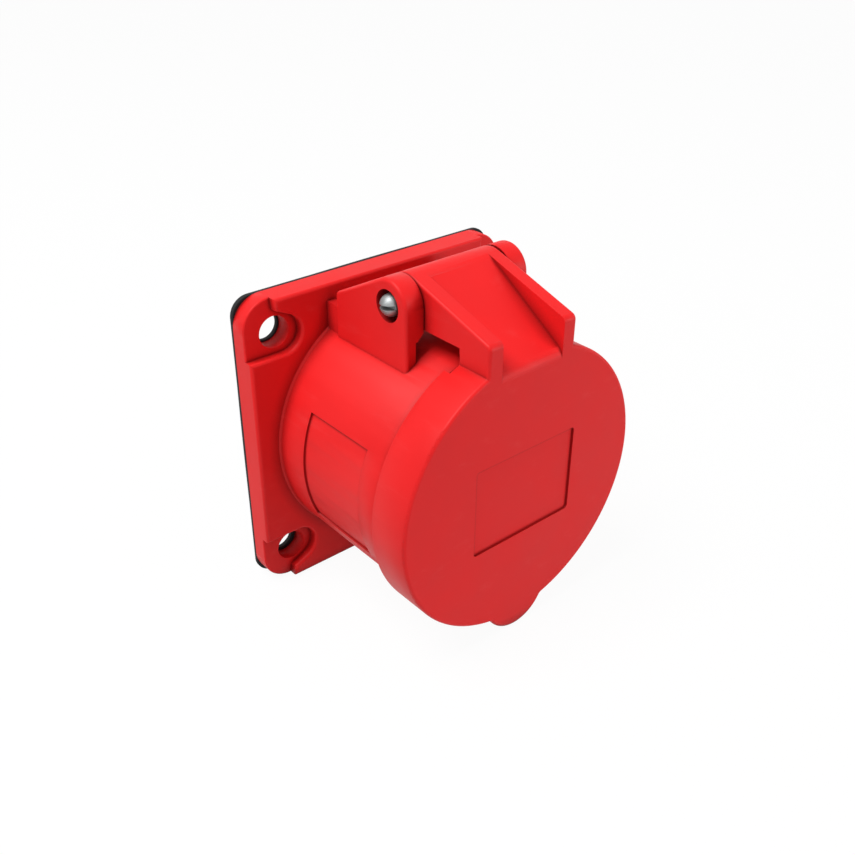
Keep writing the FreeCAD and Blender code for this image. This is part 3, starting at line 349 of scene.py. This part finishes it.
def turning_group():
    """Rings that a lathe leaves round an axis along X, and streaks in the plating."""
    found = bpy.data.node_groups.get("turned_metal")
    if found:
        return found
    inputs = {"Centre": (0.0, 0.0, 0.0), "Ring Size": 0.0004, "Streak Size": 0.002}
    tree, source, sink = open_group("turned_metal", inputs, ("Height", "Streak"))
    place = add_node(tree, "ShaderNodeTexCoord").outputs["Object"]
    moved = add_node(tree, "ShaderNodeVectorMath", operation="SUBTRACT")
    tree.links.new(place, moved.inputs[0])
    tree.links.new(source.outputs["Centre"], moved.inputs[1])
    rings = add_node(
        tree, "ShaderNodeTexWave", {"Distortion": 1.5, "Detail": 2.0},
        wave_type="RINGS", rings_direction="X")
    tree.links.new(moved.outputs[0], rings.inputs["Vector"])
    tree.links.new(per_metre(tree, source, "Ring Size"), rings.inputs["Scale"])
    streak = noise(tree, source, "Streak Size", place, detail=4.0, roughness=0.6)
    tree.links.new(rings.outputs["Fac"], sink.inputs["Height"])
    tree.links.new(spread(tree, streak, low=0.35, high=0.65), sink.inputs["Streak"])
    return tree


def open_material(name, group, values):
    """A material with its shader and one placed group."""
    material = bpy.data.materials.new(name)
    material.use_nodes = True
    tree = material.node_tree
    placed = tree.nodes.new("ShaderNodeGroup")
    placed.node_tree = group
    for label, value in values.items():
        placed.inputs[label].default_value = value
    return material, tree, tree.nodes["Principled BSDF"], placed


def relief(tree, shader, height, depth):
    """Raise and lower the shader's surface by a height."""
    bump = add_node(tree, "ShaderNodeBump", {"Strength": 1.0, "Distance": depth})
    tree.links.new(height, bump.inputs["Height"])
    tree.links.new(bump.outputs["Normal"], shader.inputs["Normal"])


def shaded(colour, factor):
    return (colour[0] * factor, colour[1] * factor, colour[2] * factor, 1.0)


def moulded_material(name, colour, rubbed_colour, settings):
    """Moulded plastic: satin, with the tool's grain, faint flow mottling, rubbed places and painted
    shade in its seams and hollows.
    """
    sizes = {"Grain Size": settings.grain_size, "Mottle Size": settings.mottle_size,
             "Rub Size": settings.rub_size,
             "Seam Reach": settings.seam_shade_reach, "Seam Depth": settings.seam_shade_depth,
             "Hollow Reach": settings.hollow_shade_reach, "Hollow Depth": settings.hollow_shade_depth}
    dark, light = shaded(colour, 0.965), shaded(colour, 1.02)
    smooth, dull = settings.roughness - 0.03, settings.roughness + 0.05
    material, tree, shader, skin = open_material(name, skin_group(), sizes)
    body = mixed(tree, skin.outputs["Mottle"], dark, light)
    rub = reckon(tree, "MULTIPLY", skin.outputs["Rub"], settings.rub_share)
    rubbed = mixed(tree, rub, body, rubbed_colour)
    # Painted shade: the colour goes towards black in seams and hollows by the shade mask.
    feed(tree, mixed(tree, skin.outputs["Painted Shade"], rubbed, PAINTED_SHADE_BLACK), shader.inputs["Base Color"])
    roughness = spread(tree, skin.outputs["Mottle"], to_low=smooth, to_high=dull)
    feed(tree, roughness, shader.inputs["Roughness"])
    feed(tree, settings.gloss, shader.inputs["Specular IOR Level"])
    relief(tree, shader, skin.outputs["Height"], settings.grain_depth)
    return material


def rubber_material(name, colour, settings):
    """Rubber: dull, with a coarse skin and pale dust in its rubbed places."""
    sizes = {"Grain Size": settings.grain_size, "Mottle Size": settings.mottle_size,
             "Rub Size": settings.dust_size}
    dust = 0.05
    dusty = tuple(min(1.0, channel + dust) for channel in colour[:3]) + (1.0,)
    smooth, dull = 0.62, 0.78
    material, tree, shader, skin = open_material(name, skin_group(), sizes)
    dusted = reckon(tree, "MULTIPLY", skin.outputs["Rub"], settings.dust_share)
    feed(tree, mixed(tree, dusted, colour, dusty), shader.inputs["Base Color"])
    roughness = spread(tree, skin.outputs["Mottle"], to_low=smooth, to_high=dull)
    feed(tree, roughness, shader.inputs["Roughness"])
    feed(tree, settings.gloss, shader.inputs["Specular IOR Level"])
    relief(tree, shader, skin.outputs["Height"], settings.grain_depth)
    return material


def metal_material(name, colour, ring_size, ring_depth, polished, dull, centre=(0.0, 0.0, 0.0)):
    """Turned or drawn metal with rings round the centre, and streaks in its colour and polish."""
    streak_size = 0.0025
    sizes = {"Centre": centre, "Ring Size": ring_size, "Streak Size": streak_size}
    dark, light = shaded(colour, 0.82), shaded(colour, 1.06)
    material, tree, shader, turning = open_material(name, turning_group(), sizes)
    streak = turning.outputs["Streak"]
    feed(tree, mixed(tree, streak, dark, light), shader.inputs["Base Color"])
    feed(tree, spread(tree, streak, to_low=dull, to_high=polished), shader.inputs["Roughness"])
    feed(tree, 1.0, shader.inputs["Metallic"])
    relief(tree, shader, turning.outputs["Height"], ring_depth)
    return material


# Meshes

def soften(part, edge_radius):
    """Round the part's sharp edges."""
    soft = part.modifiers.new("small_edges", "BEVEL")
    soft.width = edge_radius
    soft.segments = 2
    soft.limit_method = "ANGLE"
    soft.angle_limit = ROUNDED_ANGLE
    soft.harden_normals = True


def finish_nodes(names, material, edge_radius=0.0):
    """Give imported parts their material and, with a radius, round their small edges."""
    for name in names:
        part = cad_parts[name]
        if part.material_slots:
            for holder in part.material_slots:
                holder.material = material
        else:
            part.data.materials.append(material)
        if edge_radius:
            weld = part.modifiers.new("join_faces", "WELD")
            weld.merge_threshold = JOIN_DISTANCE
            soften(part, edge_radius)


def new_piece(name, mesh, material, body, node):
    """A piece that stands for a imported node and, unless it crosses the hinge, rides on its body."""
    piece = bpy.data.objects.new(name, mesh)
    bpy.context.scene.collection.objects.link(piece)
    piece.data.materials.clear()
    piece.data.materials.append(material)
    for face in piece.data.polygons:
        face.use_smooth = True
    if body:
        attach(piece, body)
    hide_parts(node)
    return piece


def circle_points(radius, across, up, count):
    turns = [2 * math.pi * step / count for step in range(count)]
    return [(across + radius * math.cos(turn), up + radius * math.sin(turn)) for turn in turns]


def rounded_square(half, corner):
    """Points along the four sides and the four corner arcs."""
    points = []
    inner = half - corner
    for quarter in range(4):
        base = math.pi / 2 * quarter
        for step in range(CORNER_STEPS + 1):
            turn = base + math.pi / 2 * step / CORNER_STEPS
            middle = Matrix.Rotation(base, 2) @ Vector((inner, inner))
            points.append((middle.x + corner * math.cos(turn), middle.y + corner * math.sin(turn)))
        start = Vector(points[-1])
        end = Matrix.Rotation(base + math.pi / 2, 2) @ Vector((half, inner))
        for step in range(1, SIDE_STEPS):
            between = start.lerp(end, step / SIDE_STEPS)
            points.append((between.x, between.y))
    return points


def mesh_as_shown(drawn):
    """The mesh that an object comes to with its curve's fill or its modifiers."""
    bpy.context.view_layer.update()
    return bpy.data.meshes.new_from_object(drawn.evaluated_get(bpy.context.evaluated_depsgraph_get()))


def closed_mesh(bm, name):
    """The drawn faces as a mesh, all facing outwards."""
    bmesh.ops.recalc_face_normals(bm, faces=bm.faces)
    mesh = bpy.data.meshes.new(name)
    bm.to_mesh(mesh)
    bm.free()
    return mesh


def join_rings(bm, here, there):
    """A band of faces between two rings of as many points."""
    for index in range(len(here)):
        after = (index + 1) % len(here)
        bm.faces.new((here[index], here[after], there[after], there[index]))


def sheet_mesh(outlines, thickness, edge):
    """A flat sheet with soft edges, its holes cut by the inner outlines."""
    curve = bpy.data.curves.new("sheet_outline", "CURVE")
    curve.dimensions = "2D"
    curve.fill_mode = "BOTH"
    curve.extrude = thickness / 2 - edge
    curve.bevel_depth = edge
    curve.bevel_resolution = 3
    curve.offset = -edge
    for points in outlines:
        spline = curve.splines.new("POLY")
        spline.points.add(len(points) - 1)
        for point, (across, up) in zip(spline.points, points):
            point.co = (across, up, 0.0, 1.0)
        spline.use_cyclic_u = True
    drawn = bpy.data.objects.new("sheet_outline", curve)
    bpy.context.scene.collection.objects.link(drawn)
    mesh = mesh_as_shown(drawn)
    bpy.data.objects.remove(drawn)
    bpy.data.curves.remove(curve)
    return mesh


def revolved_mesh(name, profile, steps):
    """A closed ring from a profile of (radius, y) pairs, round the socket's axis."""
    bm = bmesh.new()
    rings = []
    for step in range(steps):
        turn = 2 * math.pi * step / steps
        across = math.cos(turn)
        up = math.sin(turn)
        rings.append([bm.verts.new((radius * across, back, radius * up)) for radius, back in profile])
    for step in range(steps):
        join_rings(bm, rings[step], rings[(step + 1) % steps])
    return closed_mesh(bm, name)


def turned_mesh(name, profile, steps):
    """A solid turned round the hinge's line, from (x, radius) pairs between its two end points."""
    bm = bmesh.new()
    first = bm.verts.new((profile[0][0], HINGE_BACK, HINGE_HEIGHT))
    last = bm.verts.new((profile[-1][0], HINGE_BACK, HINGE_HEIGHT))
    rings = []
    for along, radius in profile[1:-1]:
        points = circle_points(radius, HINGE_BACK, HINGE_HEIGHT, steps)
        rings.append([bm.verts.new((along, back, up)) for back, up in points])
    for step in range(steps):
        after = (step + 1) % steps
        bm.faces.new((first, rings[0][step], rings[0][after]))
        bm.faces.new((last, rings[-1][after], rings[-1][step]))
    for here, there in zip(rings, rings[1:]):
        join_rings(bm, there, here)
    return closed_mesh(bm, name)


def cut_away(mesh, cutter_size, cutter_place):
    """The mesh with a block taken out of it."""
    bm = bmesh.new()
    bmesh.ops.create_cube(bm, size=1.0, matrix=cutter_place @ Matrix.Diagonal(cutter_size).to_4x4())
    block = closed_mesh(bm, "slot_block")
    whole, cutter = [bpy.data.objects.new(data.name, data) for data in (mesh, block)]
    bpy.context.scene.collection.objects.link(whole)
    bpy.context.scene.collection.objects.link(cutter)
    cut = whole.modifiers.new("slot", "BOOLEAN")
    cut.operation = "DIFFERENCE"
    cut.solver = "EXACT"
    cut.object = cutter
    done = mesh_as_shown(whole)
    bpy.data.objects.remove(whole)
    bpy.data.objects.remove(cutter)
    bpy.data.meshes.remove(block)
    bpy.data.meshes.remove(mesh)
    return done


def wire_mesh(name, route, radius, sides):
    """A round wire along the route's points, with flat ends."""
    bm = bmesh.new()
    tangents = []
    for index in range(len(route)):
        before = route[max(index - 1, 0)]
        after = route[min(index + 1, len(route) - 1)]
        tangents.append((after - before).normalized())
    normal = tangents[0].orthogonal().normalized()
    rings = []
    for index, point in enumerate(route):
        if index:
            turn = tangents[index - 1].rotation_difference(tangents[index])
            normal = (turn @ normal).normalized()
        other = tangents[index].cross(normal)
        ring = []
        for side in range(sides):
            angle = 2 * math.pi * side / sides
            outwards = math.cos(angle) * normal + math.sin(angle) * other
            ring.append(bm.verts.new(point + radius * outwards))
        rings.append(ring)
    for here, there in zip(rings, rings[1:]):
        join_rings(bm, here, there)
    bm.faces.new(rings[0][::-1])
    bm.faces.new(rings[-1])
    return closed_mesh(bm, name)


# Operators, one for each piece or group of like pieces

class PANELSOCKET_OT_mouldings(Operator):
    """Finish the red housing and lid, and soften their small edges"""

    bl_idname = "panel_socket.mouldings"
    bl_label = "Finish Red Mouldings"

    def execute(self, context):
        settings = context.scene.panel_socket_moulding
        material = moulded_material("red_plastic", settings.red, settings.rubbed_red, settings)
        finish_nodes(RED_NODES, material, settings.edge_radius)
        return {"FINISHED"}


class PANELSOCKET_OT_insert(Operator):
    """Finish the grey carrier, the terminal holder and the rear cover"""

    bl_idname = "panel_socket.insert"
    bl_label = "Finish Contact Carrier"

    def execute(self, context):
        settings = context.scene.panel_socket_moulding
        material = moulded_material("grey_plastic", settings.grey, settings.rubbed_grey, settings)
        finish_nodes(GREY_NODES, material, settings.edge_radius)
        finish_nodes(SHARP_GREY_NODES, material)
        return {"FINISHED"}


class PANELSOCKET_OT_gasket(Operator):
    """Cut the rubber gasket, with soft edges that swell between the fixing holes"""

    bl_idname = "panel_socket.gasket"
    bl_label = "Add Flange Gasket"

    def execute(self, context):
        settings = context.scene.panel_socket_rubber
        low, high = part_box("flange_gasket")
        half = high.x + settings.squeeze
        outlines = [rounded_square(half, settings.corner_radius),
                    circle_points(settings.bore_radius, 0.0, 0.0, BORE_STEPS)]
        for across in (-FIXING_ACROSS, FIXING_ACROSS):
            for up in (-FIXING_UP, FIXING_UP):
                drift = math.copysign(settings.hole_drift, across) if up < 0.0 else 0.0
                centre = (across + drift, up + abs(drift))
                outlines.append(circle_points(FIXING_RADIUS - settings.squeeze, *centre, HOLE_STEPS))
        mesh = sheet_mesh(outlines, high.y - low.y, settings.edge_radius)
        edge_band = 0.002
        swell_end = 0.2
        # The sheet is drawn lying flat and stands up behind the flange
        for vertex in mesh.vertices:
            across, up, out = vertex.co
            reach = max(abs(across), abs(up))
            if reach > half - edge_band:
                along = min(abs(across), abs(up)) / half
                swell = settings.bulge * (math.cos(math.pi * along) - swell_end)
                grow = 1.0 + max(swell, 0.0) / reach
                across, up = across * grow, up * grow
            vertex.co = (across, (low.y + high.y) / 2 - out, up)
        mesh.flip_normals()
        material = rubber_material("black_rubber_finish", settings.black, settings)
        new_piece("gasket_sheet", mesh, material, HOUSING, "flange_gasket")
        return {"FINISHED"}


class PANELSOCKET_OT_seal(Operator):
    """Mould the seal inside the lid, with a crowned face for the spigot"""

    bl_idname = "panel_socket.seal"
    bl_label = "Add Lid Seal"

    def execute(self, context):
        settings = context.scene.panel_socket_rubber
        low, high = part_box("lid_seal")
        outer = high.x
        inner = settings.seal_bore
        middle = (outer + inner) / 2
        crown_half = (outer - inner) / 2 * settings.seal_crown_width
        crown_rise = (high.y - low.y) * settings.seal_crown
        shoulder = high.y - crown_rise
        fullness = 0.6
        profile = [(inner, low.y), (inner, shoulder)]
        for step in range(SMALL_ARC_STEPS + 1):
            turn = math.pi - math.pi * step / SMALL_ARC_STEPS
            rise = crown_rise * math.sin(turn) ** fullness if 0 < step < SMALL_ARC_STEPS else 0.0
            profile.append((middle + crown_half * math.cos(turn), shoulder + rise))
        profile += [(outer, shoulder), (outer, low.y)]
        mesh = revolved_mesh("lid_seal_ring", profile, SEAL_STEPS)
        material = rubber_material("grey_rubber_finish", settings.seal_grey, settings)
        new_piece("lid_seal_ring", mesh, material, LID, "lid_seal")
        return {"FINISHED"}


class PANELSOCKET_OT_spring(Operator):
    """Wind the torsion spring from its tang through its coils to the leg that rests on the barrel"""

    bl_idname = "panel_socket.spring"
    bl_label = "Add Hinge Spring"

    def execute(self, context):
        settings = context.scene.panel_socket_metal
        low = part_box("hinge_spring")[0]
        coil = settings.coil_radius
        turns = settings.coil_turns
        length = turns * settings.coil_pitch
        bend = settings.tang_bend
        start = Vector((-length / 2, HINGE_BACK - coil, HINGE_HEIGHT))
        bend_centre = start - Vector((bend, 0.0, 0.0))
        # The tang, its bend, the coils and the straight leg follow one another
        route = [Vector((low.x, HINGE_BACK - coil, HINGE_HEIGHT - bend))]
        for step in range(SMALL_ARC_STEPS + 1):
            turn = math.pi / 2 * step / SMALL_ARC_STEPS
            route.append(bend_centre + Vector((bend * math.sin(turn), 0.0, -bend * math.cos(turn))))
        steps = int(turns * COIL_STEPS)
        for step in range(1, steps + 1):
            share = step / steps
            turn = 2 * math.pi * turns * share
            along = -length / 2 + length * share
            place = Vector((along, -math.cos(turn) * coil, math.sin(turn) * coil))
            route.append(place + Vector(HINGE_CENTRE))
        leg = (route[-1] - route[-2]).normalized()
        route.append(route[-1] + leg * ((low.z - route[-1].z) / leg.z))
        mesh = wire_mesh("spring_wire", route, settings.wire_radius, settings.wire_sides)
        material = metal_material(
            "spring_steel_finish", settings.steel, ring_size=0.0002, ring_depth=0.000004,
            polished=0.22, dull=0.38, centre=HINGE_CENTRE)
        spring = new_piece("spring_wire", mesh, material, None, "hinge_spring")
        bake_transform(spring)
        return {"FINISHED"}


class PANELSOCKET_OT_hinge_screw(Operator):
    """Turn the zinc-plated hinge screw, whose high slotted head fills the ear's counterbore"""

    bl_idname = "panel_socket.hinge_screw"
    bl_label = "Add Hinge Screw"

    def execute(self, context):
        settings = context.scene.panel_socket_metal
        low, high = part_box("hinge_screw")
        shank = settings.shank_radius
        tip = shank / 4
        seat = low.x + settings.seat_depth
        head = settings.head_radius
        apex = seat - settings.head_height
        ball = (head ** 2 + settings.head_dome ** 2) / (2 * settings.head_dome)
        full = math.asin(head / ball)
        profile = [(apex, 0.0)]
        for step in range(1, SMALL_ARC_STEPS + 1):
            turn = full * step / SMALL_ARC_STEPS
            profile.append((apex + ball * (1 - math.cos(turn)), ball * math.sin(turn)))
        profile += [(seat, head), (seat, shank)]
        profile += [(high.x - tip, shank), (high.x, shank - tip), (high.x, 0.0)]
        mesh = turned_mesh("hinge_screw_turned", profile, SCREW_STEPS)
        tilt = Matrix.Rotation(-settings.slot_tilt, 4, "X")
        slot_size = Vector((2 * settings.slot_depth, 4 * head, settings.slot_width))
        mesh = cut_away(mesh, slot_size, Matrix.Translation((apex, HINGE_BACK, HINGE_HEIGHT)) @ tilt)
        material = metal_material(
            "zinc_screw", settings.zinc, ring_size=0.0003, ring_depth=0.000008,
            polished=0.44, dull=0.58, centre=HINGE_CENTRE)
        screw = new_piece("hinge_screw_turned", mesh, material, HOUSING, "hinge_screw")
        screw.data.set_sharp_from_angle(angle=SHARP_ANGLE)
        soften(screw, settings.edge_radius)
        return {"FINISHED"}


class PANELSOCKET_OT_inner_screws(Operator):
    """Finish the terminal screws and the screws of the carrier"""

    bl_idname = "panel_socket.inner_screws"
    bl_label = "Finish Inner Screws"

    def execute(self, context):
        settings = context.scene.panel_socket_metal
        material = metal_material(
            "zinc_small_screws", settings.zinc, ring_size=0.0005, ring_depth=0.000005,
            polished=0.26, dull=0.42)
        finish_nodes(SCREW_NODES, material, settings.edge_radius)
        return {"FINISHED"}


class PANELSOCKET_OT_contacts(Operator):
    """Finish the brass contacts and the steel bands round them"""

    bl_idname = "panel_socket.contacts"
    bl_label = "Finish Contacts"

    def execute(self, context):
        settings = context.scene.panel_socket_metal
        brass = metal_material(
            "brass_finish", settings.brass, ring_size=0.0004, ring_depth=0.000005,
            polished=0.24, dull=0.42)
        steel = metal_material(
            "band_steel", settings.steel, ring_size=0.0003, ring_depth=0.000004,
            polished=0.22, dull=0.36)
        finish_nodes(CONTACT_NODES, brass, settings.edge_radius)
        finish_nodes(BAND_NODES, steel, settings.band_edge)
        return {"FINISHED"}


# Stage

def seen_or_mirrored(tree):
    """1 for rays from the camera, from gloss and through glass, and 0 for light on things."""
    path = add_node(tree, "ShaderNodeLightPath")
    seen = reckon(tree, "MAXIMUM", path.outputs["Is Camera Ray"], path.outputs["Is Glossy Ray"])
    return reckon(tree, "MAXIMUM", seen, path.outputs["Is Transmission Ray"])


def add_floor(settings):
    """A pale floor that looks white, and keeps a faint shadow."""
    half = 6.0
    gap = 0.0001
    height = CAD_BOX[0].z - gap
    mesh = bpy.data.meshes.new("floor")
    corners = ((-half, -half), (half, -half), (half, half), (-half, half))
    mesh.from_pydata([(across, back, height) for across, back in corners], [], [(0, 1, 2, 3)])
    floor = bpy.data.objects.new("floor", mesh)
    bpy.context.scene.collection.objects.link(floor)
    material = bpy.data.materials.new("floor_paper")
    material.use_nodes = True
    tree = material.node_tree
    shader = tree.nodes["Principled BSDF"]
    path = add_node(tree, "ShaderNodeLightPath")
    thrown_back = shaded(settings.floor_colour, settings.bounce_share)
    colour = mixed(tree, path.outputs["Is Camera Ray"], thrown_back, settings.floor_colour)
    feed(tree, colour, shader.inputs["Base Color"])
    feed(tree, 0.9, shader.inputs["Roughness"])
    feed(tree, 0.0, shader.inputs["Specular IOR Level"])
    light = add_node(tree, "ShaderNodeEmission", {"Strength": 1.0})
    mix = tree.nodes.new("ShaderNodeMixShader")
    white_share = reckon(tree, "MULTIPLY", seen_or_mirrored(tree), 1.0 - settings.shadow_share)
    tree.links.new(white_share, mix.inputs[0])
    tree.links.new(shader.outputs[0], mix.inputs[1])
    tree.links.new(light.outputs[0], mix.inputs[2])
    tree.links.new(mix.outputs[0], tree.nodes["Material Output"].inputs["Surface"])
    floor.data.materials.append(material)


def set_world(settings):
    """White to look at, and softer as a light."""
    world = bpy.data.worlds.new("studio")
    bpy.context.scene.world = world
    world.use_nodes = True
    tree = world.node_tree
    sky = tree.nodes["Background"]
    feed(tree, WHITE, sky.inputs["Color"])
    level = spread(tree, seen_or_mirrored(tree), to_low=settings.sky_level, to_high=1.0)
    feed(tree, level, sky.inputs["Strength"])


def add_lamp(name, place, aim, size, level):
    """A square soft lamp that lights a white surface facing it to the given level."""
    lamp = bpy.data.lights.new(name, "AREA")
    lamp.shape = "SQUARE"
    lamp.size = size
    towards = aim - place
    lamp.energy = level * math.pi ** 2 * towards.length_squared
    holder = bpy.data.objects.new(name, lamp)
    bpy.context.scene.collection.objects.link(holder)
    holder.location = place
    holder.rotation_mode = "QUATERNION"
    holder.rotation_quaternion = towards.to_track_quat("-Z", "Y")


def add_camera(settings):
    """The photograph's viewpoint."""
    azimuth = settings.azimuth
    elevation = settings.elevation
    roll = settings.roll
    back = Vector((math.sin(azimuth) * math.cos(elevation), -math.cos(azimuth) * math.cos(elevation),
                   math.sin(elevation)))
    right = (-back).cross(Vector((0.0, 0.0, 1.0))).normalized()
    up = right.cross(-back)
    turned = math.cos(roll) * right + math.sin(roll) * up
    raised = math.cos(roll) * up - math.sin(roll) * right
    data = bpy.data.cameras.new("photo_view")
    data.lens = settings.lens
    data.sensor_width = 36.0
    data.clip_start = 0.01
    data.clip_end = 50.0
    camera = bpy.data.objects.new("photo_view", data)
    bpy.context.scene.collection.objects.link(camera)
    turn = Matrix((turned, raised, back)).transposed().to_4x4()
    camera.matrix_world = Matrix.Translation(settings.camera_place) @ turn
    bpy.context.scene.camera = camera


class PANELSOCKET_OT_stage(Operator):
    """Set the floor, the white surroundings, the lamps and the camera"""

    bl_idname = "panel_socket.stage"
    bl_label = "Set Stage"

    def execute(self, context):
        settings = context.scene.panel_socket_stage
        context.scene.view_settings.view_transform = "Standard"
        add_floor(settings)
        set_world(settings)
        aim = settings.aim
        add_lamp("key_lamp", settings.key_place, aim, settings.key_size, settings.key_level)
        add_lamp("front_lamp", settings.front_place, aim, settings.front_size, settings.front_level)
        add_camera(settings)
        return {"FINISHED"}


class PANELSOCKET_PT_pieces(Panel):
    """The settings, and the socket's pieces and stage in the order in which they are made"""

    bl_idname = "PANELSOCKET_PT_pieces"
    bl_label = "Panel Socket"
    bl_space_type = "VIEW_3D"
    bl_region_type = "UI"
    bl_category = "Panel Socket"

    def draw(self, context):
        for group in SETTINGS:
            box = self.layout.box()
            holder = getattr(context.scene, group)
            for field in holder.__annotations__:
                box.prop(holder, field)
        for operator in OPERATORS:
            self.layout.operator(operator.bl_idname)


SETTINGS = {
    "panel_socket_moulding": MouldingSettings,
    "panel_socket_rubber": RubberSettings,
    "panel_socket_metal": MetalSettings,
    "panel_socket_stage": StageSettings,
}

OPERATORS = (
    PANELSOCKET_OT_mouldings,
    PANELSOCKET_OT_insert,
    PANELSOCKET_OT_gasket,
    PANELSOCKET_OT_seal,
    PANELSOCKET_OT_spring,
    PANELSOCKET_OT_hinge_screw,
    PANELSOCKET_OT_inner_screws,
    PANELSOCKET_OT_contacts,
    PANELSOCKET_OT_stage,
)


def register():
    for name, group in SETTINGS.items():
        bpy.utils.register_class(group)
        setattr(bpy.types.Scene, name, PointerProperty(type=group))
    for kind in OPERATORS:
        bpy.utils.register_class(kind)
    bpy.utils.register_class(PANELSOCKET_PT_pieces)


def unregister():
    bpy.utils.unregister_class(PANELSOCKET_PT_pieces)
    for kind in reversed(OPERATORS):
        bpy.utils.unregister_class(kind)
    for name, group in SETTINGS.items():
        delattr(bpy.types.Scene, name)
        bpy.utils.unregister_class(group)


def main():
    register()
    bpy.ops.panel_socket.mouldings()
    bpy.ops.panel_socket.insert()
    bpy.ops.panel_socket.gasket()
    bpy.ops.panel_socket.seal()
    bpy.ops.panel_socket.spring()
    bpy.ops.panel_socket.hinge_screw()
    bpy.ops.panel_socket.inner_screws()
    bpy.ops.panel_socket.contacts()
    bpy.ops.panel_socket.stage()


if __name__ == "__main__":
    main()
